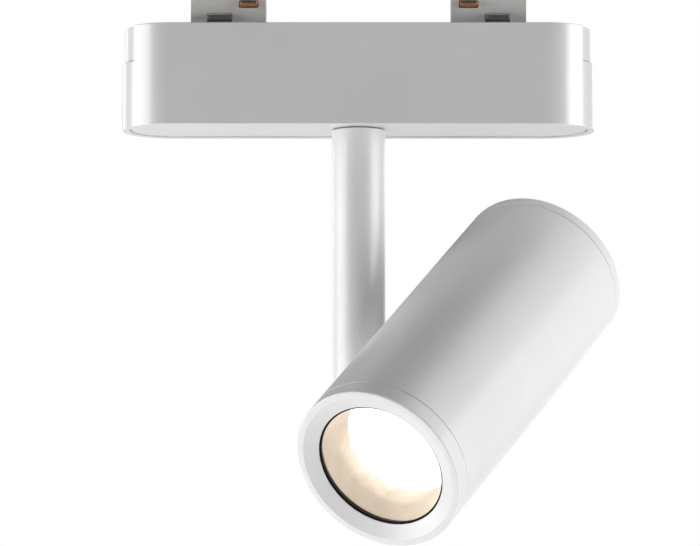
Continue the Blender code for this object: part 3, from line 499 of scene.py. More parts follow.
def circuit_board():
    """Green solder mask over copper tracks, with tinned pads."""
    finish = Finish("circuit_board", 0.4)
    tracks = finish.nodes.new("ShaderNodeTexBrick")
    tracks.inputs["Scale"].default_value = 1.0 / (9 * MM)
    tracks.inputs["Mortar Size"].default_value = 0.035
    tracks.inputs["Color1"].default_value = (0.02, 0.16, 0.06, 1.0)
    tracks.inputs["Color2"].default_value = (0.025, 0.2, 0.08, 1.0)
    tracks.inputs["Mortar"].default_value = (0.07, 0.3, 0.1, 1.0)
    finish.links.new(finish.place, tracks.inputs["Vector"])
    dots = finish.spread(finish.cells(2.6 * MM), 1.0, 0.0, 0.14, 0.17)
    finish.colour(finish.blend(dots, tracks.outputs["Color"], (0.6, 0.58, 0.52)))
    finish.roughness(finish.spread(finish.noise(1.5 * MM, 2.0), 0.3, 0.5))
    finish.bump(tracks.outputs["Fac"], 0.03 * MM, 0.5)
    return finish.material


def striped_jacket(name, ground, stripe, width):
    """Wire jacket with a stripe that runs round it."""
    finish = Finish(name, 0.45)
    stripes = finish.spread(finish.bands(width, "DIAGONAL"), 0.0, 1.0, 0.45, 0.55)
    finish.colour(finish.blend(stripes, ground, stripe))
    finish.roughness(finish.spread(finish.noise(0.8 * MM, 2.0), 0.38, 0.52))
    finish.bump(finish.noise(0.25 * MM, 2.0), 0.01 * MM, 0.5)
    return finish.material


def turned_steel(name, colour, roughness):
    """Zinc-plated or bright steel, with fine rings about its axis and small scratches."""
    finish = Finish(name, roughness, metallic=1.0)
    scratches = finish.noise(0.8 * MM, 4.0, finish.stretched((1.0, 6.0, 1.0)))
    darker = tuple(0.85 * channel for channel in colour)
    finish.colour(finish.blend(finish.spread(scratches, 0.0, 1.0), darker, colour))
    finish.roughness(finish.spread(finish.noise(0.6 * MM, 3.0), roughness - 0.08, roughness + 0.12))
    finish.bump(finish.bands(0.2 * MM, wobble=0.3), 0.006 * MM, 0.5)
    return finish.material


FINISHES = {
    "white_paint": powder_coat(),
    "housing_plastic": moulded_white(),
    "adapter_plastic": adapter_plastic(),
    "screw_steel": turned_steel("bright_steel", (0.62, 0.62, 0.63), 0.36),
    "spring_steel": turned_steel("spring_steel", (0.46, 0.47, 0.49), 0.38),
    "zinc_plate": turned_steel("zinc_plate", (0.66, 0.66, 0.68), 0.36),
    "contact_copper": metal(
        "contact_copper", (0.86, 0.5, 0.3), 0.37, 0.5 * MM, 0.006 * MM, along=(0.2, 1.0, 1.0)
    ),
    "acetal": dull("acetal", (0.74, 0.74, 0.7), (0.8, 0.8, 0.77), 0.4, 0.3 * MM, 0.005 * MM),
    "circuit_board": circuit_board(),
    "led_circuit_board": dull(
        "led_board", (0.76, 0.76, 0.74), (0.84, 0.84, 0.82), 0.4, 0.4 * MM, 0.006 * MM
    ),
    "ferrite": dull("ferrite", (0.05, 0.05, 0.055), (0.11, 0.11, 0.12), 0.6, 0.35 * MM, 0.03 * MM),
    "capacitor_sleeve": dull(
        "capacitor_sleeve", (0.02, 0.03, 0.06), (0.05, 0.06, 0.1), 0.3, 0.5 * MM, 0.01 * MM
    ),
    "terminal_plastic": dull(
        "terminal_plastic", (0.07, 0.26, 0.15), (0.1, 0.33, 0.2), 0.45, 0.3 * MM, 0.01 * MM
    ),
    "holder_plastic": dull(
        "holder_plastic", (0.8, 0.8, 0.78), (0.87, 0.87, 0.86), 0.4, 0.3 * MM, 0.006 * MM
    ),
    "lead_jacket": dull("lead_jacket", (0.7, 0.7, 0.68), (0.78, 0.78, 0.76), 0.45, 0.25 * MM, 0.01 * MM),
    "live_jacket": dull("live_jacket", (0.16, 0.07, 0.03), (0.24, 0.11, 0.05), 0.42, 0.25 * MM, 0.01 * MM),
    "neutral_jacket": dull(
        "neutral_jacket", (0.02, 0.08, 0.38), (0.04, 0.13, 0.52), 0.42, 0.25 * MM, 0.01 * MM
    ),
    "earth_jacket": striped_jacket("earth_jacket", (0.08, 0.35, 0.05), (0.8, 0.68, 0.05), 2.2 * MM),
    "black_ring": black_ring(),
    "champagne_satin": champagne(),
    "lens_plastic": lit_lens(),
    "vapour_aluminium": metal("vapour_aluminium", (0.92, 0.92, 0.91), 0.16, 1.2 * MM, 0.004 * MM),
    "phosphor": dull("phosphor", (0.82, 0.6, 0.16), (0.92, 0.74, 0.28), 0.6, 0.15 * MM, 0.02 * MM),
    "raw_aluminium": metal(
        "raw_aluminium", (0.76, 0.77, 0.78), 0.36, 0.5 * MM, 0.012 * MM, along=(1.0, 1.0, 0.08)
    ),
}


def fit(obj, place, body, slot, *nodes):
    """Put a piece in its place, on its body, with its slot's finish, for the CAD nodes it stands for."""
    obj.matrix_world = place
    obj.data.materials.clear()
    obj.data.materials.append(FINISHES[slot])
    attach(obj, body)
    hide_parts(*nodes)


# Dimensions. Outer ones come from the CAD boxes, inner ones are named here or in a piece's own function.

SEAM = 0.3 * MM  # between pieces
FINE_SEAM = 0.18 * MM  # where the barrel meets its bezel and its cap
PAST = 1.0 * MM  # how far a cutter runs past what it cuts
TOP_WALL = 2.0 * MM
PLATE_THICKNESS = 2.0 * MM
WORLD = Matrix.Identity(4)
TAB_HALF_WIDTH = 11.0 * MM
TAB_BACK = 75.5 * MM
TAB_TRAVEL = 3.2 * MM
ARM_TOP = -5.0 * MM
ARM_THICKNESS = 1.6 * MM
NOTCH_START = 72.0 * MM
BLOCK_START = 32.0 * MM
BLOCK_END = 58.0 * MM
BLOCK_HALF_WIDTH = 7.9 * MM
FIN_X = 48.0 * MM
FIN_WIDTH = 8.0 * MM
PIN_Y = 6.0 * MM
PIN_RADIUS = 1.0 * MM
PIN_END = -6.9 * MM
CONTACT_X = 38.0 * MM
SCREW_HOLE = 1.7 * MM
SINK_RADIUS = 3.2 * MM
SINK_DEPTH = 1.7 * MM
STEM_HOLE = 7.6 * MM
BOSS_RADIUS = 5.6 * MM  # of the knuckle, on the tilt axis
BOLT_BORE = 4.3 * MM

HOUSING_LOW, HOUSING_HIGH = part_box("driver_housing")
END_CENTRE = HOUSING_HIGH.x - HOUSING_HIGH.y
SIGNS = {"left": -1, "right": 1}
HOUSING_SCREWS = [f"housing_screw_{number}" for number in range(1, 5)]
CAP_SCREWS = ["cap_screw_1", "cap_screw_2", "cap_screw_3"]


def centre_of(node):
    """Middle of a CAD node, seen from above."""
    low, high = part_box(node)
    return ((low + high) / 2).xy


def span(sign, inner, outer, half_width, bottom, top):
    """A box across the housing, between two distances from its middle on one side."""
    start, end = sorted((sign * inner, sign * outer))
    return block((start, -half_width, bottom), (end, half_width, top))


def rod(radius, bottom, top, sides=FEW_SIDES, centre=(0.0, 0.0)):
    """A plain round rod along Z."""
    corners = [(0.0, bottom, 0.0), (radius, bottom, 0.0), (radius, top, 0.0), (0.0, top, 0.0)]
    return turned(corners, sides, centre)


# Driver housing and track adapter

def housing():
    """The driver housing's shell, with openings for the blocks and tabs, and sinks for the screws."""
    middle = (BLOCK_START + BLOCK_END) / 2
    solid = extruded(stadium(HOUSING_HIGH.y, END_CENTRE), HOUSING_LOW.z, HOUSING_HIGH.z)
    shell = object_from(split_faces(solid, (-middle, 0.0, middle)), "housing_shell")
    inner_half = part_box("bottom_plate")[1].y + SEAM
    hollow = extruded(stadium(inner_half, END_CENTRE), HOUSING_LOW.z - PAST, -TOP_WALL)
    cuts = [split_faces(hollow, (-middle, 0.0, middle))]
    for side, sign in SIGNS.items():
        tab_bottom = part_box(f"release_tab_{side}")[0].z
        wide = TAB_HALF_WIDTH + SEAM
        cuts.append(span(sign, NOTCH_START, HOUSING_HIGH.x + PAST, wide, tab_bottom - SEAM, PAST))
        wide = BLOCK_HALF_WIDTH + SEAM
        cuts.append(span(sign, BLOCK_START - SEAM, BLOCK_END + SEAM, wide, -TOP_WALL - PAST, PAST))
    sink = [
        (0.0, -TOP_WALL - PAST, 0.0),
        (SCREW_HOLE, -TOP_WALL - PAST, 0.0),
        (SCREW_HOLE, -SINK_DEPTH, 0.0),
        (SINK_RADIUS, 0.0, 0.0),
        (SINK_RADIUS, PAST, 0.0),
        (0.0, PAST, 0.0),
    ]
    boolean(shell, "DIFFERENCE", cuts)
    # The sinks are cut after the bevel, which would fold the narrow faces round them.
    smooth(shell, bevel=0.25 * MM)
    settle(shell)
    boolean(shell, "DIFFERENCE", [turned(sink, FEW_SIDES, centre_of(node)) for node in HOUSING_SCREWS])
    smooth(shell)
    fit(shell, WORLD, "housing", "housing_plastic", "driver_housing")


def housing_screws():
    """Countersunk screws with a cross recess."""
    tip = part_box(HOUSING_SCREWS[0])[0].z
    face = -0.15 * MM
    shank, head, rim = 1.2 * MM, 2.75 * MM, 0.25 * MM
    turn = 0.6  # radians, from one screw's cross to the next one's
    corners = [
        (0.0, tip, 0.0),
        (shank, tip, 0.4 * MM),
        (shank, -SINK_DEPTH, 0.2 * MM),
        (head, face - rim, 0.05 * MM),
        (head, face, 0.08 * MM),
        (0.0, face, 0.0),
    ]
    for number, node in enumerate(HOUSING_SCREWS):
        screw = object_from(turned(corners, FEW_SIDES), f"{node}_smooth")
        cross_recess(screw, face, reach=1.35 * MM, half_slot=0.35 * MM, depth=1.1 * MM)
        smooth(screw)
        place = Matrix.Translation((*centre_of(node), 0.0)) @ Matrix.Rotation(turn * number, 4, "Z")
        fit(screw, place, "housing", "screw_steel", node)


def cross_recess(screw, face, reach, half_slot, depth):
    """Two crossed wedges that narrow towards the bottom of the recess."""
    tip = 0.4 * reach
    wedge = [(-reach, face + PAST), (reach, face + PAST), (reach, face)]
    wedge += [(tip, face - depth), (-tip, face - depth), (-reach, face)]
    crossed = [crosswise(wedge, -half_slot, half_slot), crosswise(wedge, -half_slot, half_slot)]
    crossed[1].transform(Matrix.Rotation(math.radians(90), 4, "Z"))
    boolean(screw, "DIFFERENCE", crossed)


def bottom_plate():
    """The plate that closes the housing from below, with its posts and the stem's hole."""
    low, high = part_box("bottom_plate")
    top = low.z + PLATE_THICKNESS
    plate = object_from(extruded(stadium(high.y, END_CENTRE), low.z, top), "lower_plate")
    buried = top - 0.8 * MM
    screw_post, screw_bore, screw_bore_end = 3.0 * MM, 1.5 * MM, -10.0 * MM
    board_post, board_bore, board_bore_end = 2.2 * MM, 1.1 * MM, -19.0 * MM
    stop_post, stop_x, stop_top = 1.5 * MM, -12.0 * MM, -29.0 * MM
    screw_places = [centre_of(node) for node in HOUSING_SCREWS]
    board_x, board_y = (abs(value) for value in centre_of("board_screw_1"))
    board_places = [(x, y) for x in (-board_x, board_x) for y in (-board_y, board_y)]
    board_post_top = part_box("driver_board")[0].z - SEAM
    posts = [rod(screw_post, buried, -TOP_WALL - SEAM, centre=place) for place in screw_places]
    posts += [rod(board_post, buried, board_post_top, centre=place) for place in board_places]
    posts.append(rod(stop_post, buried, stop_top, centre=(stop_x, 0.0)))
    boolean(plate, "UNION", posts)
    holes = [rod(screw_bore, screw_bore_end, 0.0, centre=place) for place in screw_places]
    holes += [rod(board_bore, board_bore_end, 0.0, centre=place) for place in board_places]
    holes.append(rod(STEM_HOLE, low.z - PAST, top + PAST, MEDIUM_SIDES))
    boolean(plate, "DIFFERENCE", holes)
    smooth(plate, bevel=0.2 * MM)
    fit(plate, WORLD, "housing", "housing_plastic", "bottom_plate")


def release_tab(side):
    """The push tab's pad, and the arm with the slanted slots that draw the fins in."""
    sign = SIGNS[side]
    low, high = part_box(f"release_tab_{side}")
    radius = max(high.x, -low.x) - END_CENTRE
    swing = math.asin(TAB_HALF_WIDTH / radius)
    pad = arc_points((END_CENTRE, 0.0), radius, -swing, swing, ARC_STEPS)
    pad += [(TAB_BACK, TAB_HALF_WIDTH), (TAB_BACK, -TAB_HALF_WIDTH)]
    tab = object_from(extruded(mirrored(pad, sign), low.z, high.z), f"push_tab_{side}")
    tip, shoulder, neck = 42.0 * MM, 57.0 * MM, 59.0 * MM
    root = TAB_BACK + PAST
    wide, narrow, corner = 9.0 * MM, 6.9 * MM, 0.8 * MM
    arm = rounded([
        (tip, -wide, corner),
        (shoulder, -wide, corner),
        (neck, -narrow, corner),
        (root, -narrow, 0.0),
        (root, narrow, 0.0),
        (neck, narrow, corner),
        (shoulder, wide, corner),
        (tip, wide, corner),
    ])
    arm_bottom = ARM_TOP - ARM_THICKNESS
    boolean(tab, "UNION", [extruded(mirrored(arm, sign), arm_bottom, ARM_TOP)])
    below, above = arm_bottom - PAST, ARM_TOP + PAST
    slots = [extruded(mirrored(slanted_slot(y_sign), sign), below, above) for y_sign in (-1, 1)]
    boolean(tab, "DIFFERENCE", slots)
    smooth(tab, bevel=0.3 * MM)
    fit(tab, WORLD, f"tab_{side}", "housing_plastic", f"release_tab_{side}")


def mirrored(outline, sign):
    """An outline as it is on the right (1) or on the left (-1)."""
    return [(sign * x, y) for x, y in outline]


def slanted_slot(y_sign):
    """A slot at 45 degrees, from the fin's pin at rest to where it is when the tab is pushed home."""
    radius = 1.35 * MM
    start = (FIN_X, y_sign * PIN_Y)
    end = (FIN_X + TAB_TRAVEL, y_sign * (PIN_Y - TAB_TRAVEL))
    heading = math.atan2(end[1] - start[1], end[0] - start[0])
    quarter = math.pi / 2
    far = arc_points(end, radius, heading - quarter, heading + quarter, FILLET_STEPS * 2)
    near = arc_points(start, radius, heading + quarter, heading + 3 * quarter, FILLET_STEPS * 2)
    return far + near


def tab_spring(side):
    """A coil spring between the block's foot and the arm's tip, which shortens as the tab is pushed home."""
    sign = SIGNS[side]
    node = f"tab_spring_{side}"
    low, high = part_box(node)
    wire = 0.2 * MM  # its radius
    turns, steps, wire_sides = 6, 144, 10
    coil = (high.y - low.y) / 2 - wire
    height = (low.z + high.z) / 2
    inner, outer = 31.9 * MM, 41.6 * MM
    shape = bmesh.new()
    rings = []
    for step in range(steps + 1):
        angle = math.tau * turns * step / steps
        out = Vector((0.0, math.cos(angle), math.sin(angle)))
        centre = Vector((sign * (inner + (outer - inner) * step / steps), 0.0, height)) + coil * out
        ring = []
        for side_number in range(wire_sides):
            turn = math.tau * side_number / wire_sides
            offset = wire * (math.cos(turn) * out + math.sin(turn) * Vector((1.0, 0.0, 0.0)))
            ring.append(shape.verts.new(centre + offset))
        rings.append(ring)
    for ring, following in zip(rings, rings[1:]):
        for side_number in range(wire_sides):
            after = (side_number + 1) % wire_sides
            shape.faces.new([ring[side_number], ring[after], following[after], following[side_number]])
    shape.faces.new(rings[0])
    shape.faces.new(rings[-1])
    spring = object_from(shape, f"{node}_smooth")
    smooth(spring)
    settle(spring)
    fit(spring, WORLD, "housing", "spring_steel", node)
    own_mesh(spring)


def adapter_block(side, contact_signs):
    """The moulded block that enters the track's slot, with the fins' channel and the contacts' pockets."""
    sign = SIGNS[side]
    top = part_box(f"adapter_block_{side}")[1].z
    chamfer, rounding = 1.5 * MM, 0.6 * MM
    root = -3.0 * MM
    body = rounded([
        (-BLOCK_HALF_WIDTH, root, 0.0),
        (BLOCK_HALF_WIDTH, root, 0.0),
        (BLOCK_HALF_WIDTH, top - chamfer, rounding),
        (BLOCK_HALF_WIDTH - chamfer, top, rounding),
        (chamfer - BLOCK_HALF_WIDTH, top, rounding),
        (-BLOCK_HALF_WIDTH, top - chamfer, rounding),
    ])
    start, end = sorted((sign * BLOCK_START, sign * BLOCK_END))
    obj = object_from(crosswise(body, start, end), f"track_block_{side}")
    flange_wide, flange_rim = 10.5 * MM, 2.5 * MM
    flange_top, flange_bottom = -TOP_WALL - SEAM, -4.2 * MM
    inner, outer = BLOCK_START - flange_rim, BLOCK_END + flange_rim
    joined = flange_bottom + 0.5 * MM
    flange = span(sign, inner, outer, flange_wide, flange_bottom, flange_top)
    spring_foot = span(sign, inner, inner + 2.0 * MM, half_width=4.0 * MM, bottom=-7.1 * MM, top=joined)
    arm_loop = span(sign, 53.5 * MM, 57.5 * MM, flange_wide, bottom=-8.0 * MM, top=joined)
    boolean(obj, "UNION", [flange, spring_foot, arm_loop])
    half = FIN_WIDTH / 2 + SEAM
    fin_channel = span(sign, FIN_X - half, FIN_X + half, flange_wide + PAST, bottom=-9.0 * MM, top=4.7 * MM)
    arm_passage = span(sign, 53.0 * MM, 58.0 * MM, half_width=9.3 * MM, bottom=-6.9 * MM, top=-4.6 * MM)
    hollows = [fin_channel, arm_passage]
    pocket_half, pocket_back = 3.3 * MM, 1.2 * MM
    pocket_bottom, pocket_top = 6.7 * MM, 9.3 * MM
    start, end = sorted((sign * (CONTACT_X - pocket_half), sign * (CONTACT_X + pocket_half)))
    for y_sign in contact_signs:
        near, far = sorted((y_sign * pocket_back, y_sign * (BLOCK_HALF_WIDTH + PAST)))
        hollows.append(block((start, near, pocket_bottom), (end, far, pocket_top)))
    boolean(obj, "DIFFERENCE", hollows)
    smooth(obj, bevel=0.18 * MM, segments=2)
    fit(obj, WORLD, "housing", "adapter_plastic", f"adapter_block_{side}")


def lock_fin(side, place, y_sign):
    """A pressed steel hook that grips the track's lip, with its drive pin."""
    node = f"lock_fin_{side}_{place}"
    low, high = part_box(node)
    reach = max(high.y, -low.y)
    inner, outer = PIN_Y - PIN_RADIUS, PIN_Y + PIN_RADIUS
    foot, lip = -4.6 * MM, 2.4 * MM
    lead_in, lead_in_height = 1.4 * MM, 0.8 * MM
    bend = 0.5 * MM
    hook = rounded([
        (inner, foot, 0.2 * MM),
        (outer, foot, 0.2 * MM),
        (outer, lip, bend),
        (reach, lip, 0.25 * MM),
        (reach, high.z - lead_in_height, 0.3 * MM),
        (reach - lead_in, high.z, 0.5 * MM),
        (inner, high.z, 2 * bend),
    ])
    outline = [(y_sign * y, z) for y, z in hook]
    middle = SIGNS[side] * FIN_X
    fin = object_from(crosswise(outline, middle - FIN_WIDTH / 2, middle + FIN_WIDTH / 2), f"{node}_smooth")
    pin_top = foot + 0.6 * MM
    boolean(fin, "UNION", [rod(PIN_RADIUS, PIN_END, pin_top, FEW_SIDES // 2, (middle, y_sign * PIN_Y))])
    smooth(fin, bevel=0.12 * MM, segments=2)
    fit(fin, WORLD, f"fin_{side}_{place}", "screw_steel", node)


def contact(name):
    """A sprung copper nose with a rounded tip."""
    low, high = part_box(f"{name}_contact")
    y_sign = 1 if high.y > -low.y else -1
    reach = max(high.y, -low.y)
    back = min(abs(low.y), abs(high.y))
    middle = (low.z + high.z) / 2
    half = (high.z - low.z) / 2
    tip_half = 0.4 * MM
    nose = rounded([
        (back, low.z, 0.15 * MM),
        (reach - half, low.z, 0.4 * MM),
        (reach, middle - tip_half, 0.3 * MM),
        (reach, middle + tip_half, 0.3 * MM),
        (reach - half, high.z, 0.4 * MM),
        (back, high.z, 0.15 * MM),
    ])
    outline = [(y_sign * y, z) for y, z in nose]
    obj = object_from(crosswise(outline, low.x, high.x), f"{name}_nose_smooth")
    smooth(obj, bevel=0.25 * MM)
    fit(obj, WORLD, f"{name}_nose", "contact_copper", f"{name}_contact")


# Head

def barrel():
    """The head's painted tube."""
    low, high = box_in(HEAD, "head_barrel")
    bore = 27.5 * MM
    corners = [
        (bore, low.z, 0.15 * MM),
        (high.x, low.z, 0.2 * MM),
        (high.x, high.z, 0.2 * MM),
        (bore, high.z, 0.15 * MM),
    ]
    obj = object_from(turned(corners), "barrel")
    boolean(obj, "DIFFERENCE", [bolt_hole()])
    smooth(obj)
    fit(obj, HEAD, "head", "white_paint", "head_barrel")


def bolt_hole():
    """The pivot bolt's way through the head's wall."""
    outside, inside = -36.0 * MM, -20.0 * MM
    shape = along_x(rod(BOLT_BORE, outside, inside))
    bmesh.ops.translate(shape, verts=shape.verts, vec=(0.0, 0.0, PIVOT_DEPTH))
    return shape


def outer_saddle():
    """The painted pad between the barrel's round wall and the tilt pivot's washer."""
    low, high = box_in(HEAD, "outer_saddle")
    edge = 0.5 * MM
    inside_wall = -24.0 * MM
    corners = [
        (0.0, low.x, 0.0),
        (high.y - edge, low.x, 0.1 * MM),
        (high.y, low.x + edge, 0.1 * MM),
        (high.y, inside_wall, 0.0),
        (0.0, inside_wall, 0.0),
    ]
    pad = along_x(turned(corners, MEDIUM_SIDES))
    bmesh.ops.translate(pad, verts=pad.verts, vec=(0.0, 0.0, PIVOT_DEPTH))
    obj = object_from(pad, "pivot_pad")
    barrel_radius = box_in(HEAD, "head_barrel")[1].x
    barrel_room = rod(barrel_radius + SEAM, 0.0, 2 * PIVOT_DEPTH, SIDES)
    boolean(obj, "DIFFERENCE", [barrel_room, bolt_hole()])
    smooth(obj, bevel=0.12 * MM, segments=2)
    fit(obj, HEAD, "head", "white_paint", "outer_saddle")


def bezel():
    """The painted front ring, whose face slopes in towards the mouth."""
    high = box_in(HEAD, "front_bezel")[1]
    mouth, spigot, spigot_bore = 22.8 * MM, 27.2 * MM, 25.3 * MM
    flare_rim = 27.5 * MM
    flare_depth, lip_rear = 2.3 * MM, 2.6 * MM
    rear = box_in(HEAD, "head_barrel")[0].z - FINE_SEAM
    corners = [
        (high.x, 0.0, 0.7 * MM),
        (high.x, rear, 0.2 * MM),
        (spigot, rear, 0.1 * MM),
        (spigot, high.z, 0.3 * MM),
        (spigot_bore, high.z, 0.2 * MM),
        (spigot_bore, lip_rear, 0.1 * MM),
        (mouth, lip_rear, 0.05 * MM),
        (mouth, flare_depth, 0.1 * MM),
        (flare_rim, 0.0, 0.3 * MM),
    ]
    obj = object_from(turned(corners), "bezel")
    smooth(obj)
    fit(obj, HEAD, "head", "white_paint", "front_bezel")


def rear_cap():
    """The painted cap at the head's back, with sunk places for its three screws."""
    low, high = box_in(HEAD, "rear_cap")
    front = box_in(HEAD, "head_barrel")[1].z + FINE_SEAM
    inner_face = high.z - 2.5 * MM
    spigot, spigot_bore = 27.2 * MM, 25.2 * MM
    corners = [
        (0.0, inner_face, 0.0),
        (spigot_bore, inner_face, 0.3 * MM),
        (spigot_bore, low.z, 0.2 * MM),
        (spigot, low.z, 0.3 * MM),
        (spigot, front, 0.1 * MM),
        (high.x, front, 0.2 * MM),
        (high.x, high.z, 1.0 * MM),
        (0.0, high.z, 0.0),
    ]
    obj = object_from(turned(corners), "back_cap")
    recess, hole = 3.2 * MM, 1.8 * MM
    recess_floor = high.z - 1.1 * MM
    recesses = []
    for node in CAP_SCREWS:
        place = cap_screw_place(node)
        recesses.append(rod(recess, recess_floor, high.z + PAST, centre=place))
        recesses.append(rod(hole, inner_face - PAST, recess_floor + PAST / 2, centre=place))
    boolean(obj, "DIFFERENCE", recesses)
    smooth(obj, bevel=0.12 * MM, segments=2)
    fit(obj, HEAD, "head", "white_paint", "rear_cap")


def cap_screw_place(node):
    """Middle of a cap screw across the head's axis."""
    low, high = box_in(HEAD, node)
    return ((low + high) / 2).xy


def cap_screws():
    """Flat cheese-head screws with a hexagonal socket."""
    tip, face = (corner.z for corner in box_in(HEAD, CAP_SCREWS[0]))
    shank, head = 1.3 * MM, 2.9 * MM
    under_head = face - 0.7 * MM
    socket, socket_floor = 1.3 * MM, face - 0.55 * MM
    corners = [
        (0.0, tip, 0.0),
        (shank, tip, 0.3 * MM),
        (shank, under_head, 0.1 * MM),
        (head, under_head, 0.08 * MM),
        (head, face, 0.2 * MM),
        (0.0, face, 0.0),
    ]
    for node in CAP_SCREWS:
        screw = object_from(turned(corners, FEW_SIDES), f"{node}_smooth")
        boolean(screw, "DIFFERENCE", [rod(socket, socket_floor, face + PAST, sides=6)])
        smooth(screw)
        place = Matrix.Translation((*cap_screw_place(node), 0.0))
        fit(screw, HEAD @ place, "head", "screw_steel", node)


def mouth_ring():
    """The thin black ring whose lip frames the mouth."""
    low, high = box_in(HEAD, "mouth_ring")
    lip, groove = 22.1 * MM, 22.75 * MM
    lip_thickness, groove_floor = 0.35 * MM, 0.45 * MM
    corners = [
        (lip, low.z, 0.1 * MM),
        (high.x, low.z, 0.1 * MM),
        (high.x, high.z, 0.1 * MM),
        (groove, high.z, 0.05 * MM),
        (groove, low.z + groove_floor, 0.1 * MM),
        (lip, low.z + lip_thickness, 0.1 * MM),
    ]
    ring = object_from(turned(corners), "shadow_ring")
    smooth(ring)
    fit(ring, HEAD, "head", "black_ring", "mouth_ring")


def cone():
    """The satin cone from the mouth to the lens, with the collar that goes round the lens."""
    low, high = box_in(HEAD, "reflector_cone")
    mouth, throat = 22.6 * MM, 20.2 * MM
    throat_depth = box_in(HEAD, "lens")[0].z - SEAM
    flange_rear, wall_bend = 6.0 * MM, 17.0 * MM
    wall_front, wall_rear, collar_bore = 23.7 * MM, 22.4 * MM, 21.3 * MM
    corners = [
        (mouth, low.z, 0.25 * MM),
        (high.x, low.z, 0.1 * MM),
        (high.x, flange_rear, 0.1 * MM),
        (wall_front, flange_rear, 0.2 * MM),
        (wall_rear, wall_bend, 0.5 * MM),
        (wall_rear, high.z, 0.1 * MM),
        (collar_bore, high.z, 0.1 * MM),
        (collar_bore, throat_depth, 0.05 * MM),
        (throat, throat_depth - 0.2 * MM, 0.05 * MM),
    ]
    obj = object_from(turned(corners), "light_cone")
    smooth(obj)
    fit(obj, HEAD, "head", "champagne_satin", "reflector_cone")


def lens():
    """The frosted lens, flat towards the mouth and domed towards the light."""
    low, high = box_in(HEAD, "lens")
    rim_thickness, dome_fillet = 1.8 * MM, 6.0 * MM
    corners = [
        (0.0, low.z, 0.0),
        (high.x, low.z, 0.2 * MM),
        (high.x, low.z + rim_thickness, 0.2 * MM),
        (14.0 * MM, low.z + 2.8 * MM, dome_fillet),
        (7.0 * MM, low.z + 3.4 * MM, dome_fillet),
        (0.0, high.z, 0.0),
    ]
    obj = object_from(turned(corners), "frosted_lens")
    smooth(obj)
    fit(obj, HEAD, "head", "lens_plastic", "lens")


# Stem

PIVOT_HEIGHT = (STEM.inverted() @ PIVOT.translation).z
TUBE_BORE = 7.75 * MM


def at_pivot(shape):
    """Turn a shape made about Z onto the tilt axis."""
    along_x(shape)
    bmesh.ops.translate(shape, verts=shape.verts, vec=(0.0, 0.0, PIVOT_HEIGHT))
    return shape


def stem_tube():
    """The painted tube, with the boss's hole in its wall."""
    low, high = box_in(STEM, "stem_tube")
    corners = [
        (TUBE_BORE, low.z, 0.15 * MM),
        (high.x, low.z, 0.2 * MM),
        (high.x, high.z, 0.3 * MM),
        (TUBE_BORE, high.z, 0.15 * MM),
    ]
    obj = object_from(turned(corners), "stem_sleeve")
    boolean(obj, "DIFFERENCE", [at_pivot(rod(BOSS_RADIUS + SEAM, TUBE_BORE / 2, high.x + PAST))])
    smooth(obj)
    fit(obj, STEM, "stem", "white_paint", "stem_tube")


def end_cap():
    """The rounded cap that closes the stem's lower end."""
    low, high = box_in(STEM, "stem_end_cap")
    rim_top = box_in(STEM, "stem_tube")[0].z - SEAM
    spigot = TUBE_BORE - SEAM
    corners = [
        (0.0, low.z, 0.0),
        (high.x, low.z, 0.8 * MM),
        (high.x, rim_top, 0.2 * MM),
        (spigot, rim_top, 0.1 * MM),
        (spigot, high.z, 0.2 * MM),
        (0.0, high.z, 0.0),
    ]
    cap = object_from(turned(corners), "end_cap")
    smooth(cap)
    fit(cap, STEM, "stem", "white_paint", "stem_end_cap")


def knuckle():
    """The plug in the stem's lower end, with the turned boss that carries the head."""
    low, high = box_in(STEM, "stem_knuckle")
    plug = -low.x
    edge = 0.3 * MM
    corners = [(0.0, low.z, 0.0), (plug, low.z, edge), (plug, high.z, edge), (0.0, high.z, 0.0)]
    obj = object_from(turned(corners, MEDIUM_SIDES), "knuckle")
    root = 1.0 * MM
    boss = [(0.0, root, 0.0), (BOSS_RADIUS, root, 0.0), (BOSS_RADIUS, high.x, edge), (0.0, high.x, 0.0)]
    boolean(obj, "UNION", [at_pivot(turned(boss, MEDIUM_SIDES))])
    well_radius, well_bottom = 4.1 * MM, -125.5 * MM
    well = rod(well_radius, well_bottom, high.z + PAST)
    bore = at_pivot(rod(BOLT_BORE, root + 0.2 * MM, high.x + PAST))
    boolean(obj, "DIFFERENCE", [well, bore])
    smooth(obj)
    fit(obj, STEM, "stem", "zinc_plate", "stem_knuckle")


def washer():
    """The friction washer between the boss and the head's pad."""
    low, high = box_in(STEM, "tilt_friction_washer")
    corners = [
        (BOLT_BORE, low.x, 0.05 * MM),
        (high.y, low.x, 0.15 * MM),
        (high.y, high.x, 0.15 * MM),
        (BOLT_BORE, high.x, 0.05 * MM),
    ]
    obj = object_from(at_pivot(turned(corners, MEDIUM_SIDES)), "friction_washer")
    smooth(obj)
    fit(obj, STEM, "stem", "acetal", "tilt_friction_washer")


# Camera, light and surroundings

LIGHT_DISTANCE = 1.2
FLOOR_HEIGHT = -0.9
FLOOR_HALF = 2.4
FAR_TILES = 5  # how many times the floor's width the far floor spans
FADE_START = 1.5 * FLOOR_HALF
FADE_END = 3.5 * FLOOR_HALF


def camera():
    """A long lens, a little below the lamp and looking up at it."""
    data = bpy.data.cameras.new("camera")
    data.lens = 304.2
    data.sensor_width = 36.0
    data.clip_end = 20.0
    obj = bpy.data.objects.new("camera", data)
    obj.location = (-2.96 * MM, -2024.7 * MM, -342.44 * MM)
    obj.rotation_euler = (math.radians(97.253), 0.0, 0.0)
    bpy.context.scene.collection.objects.link(obj)
    bpy.context.scene.camera = obj


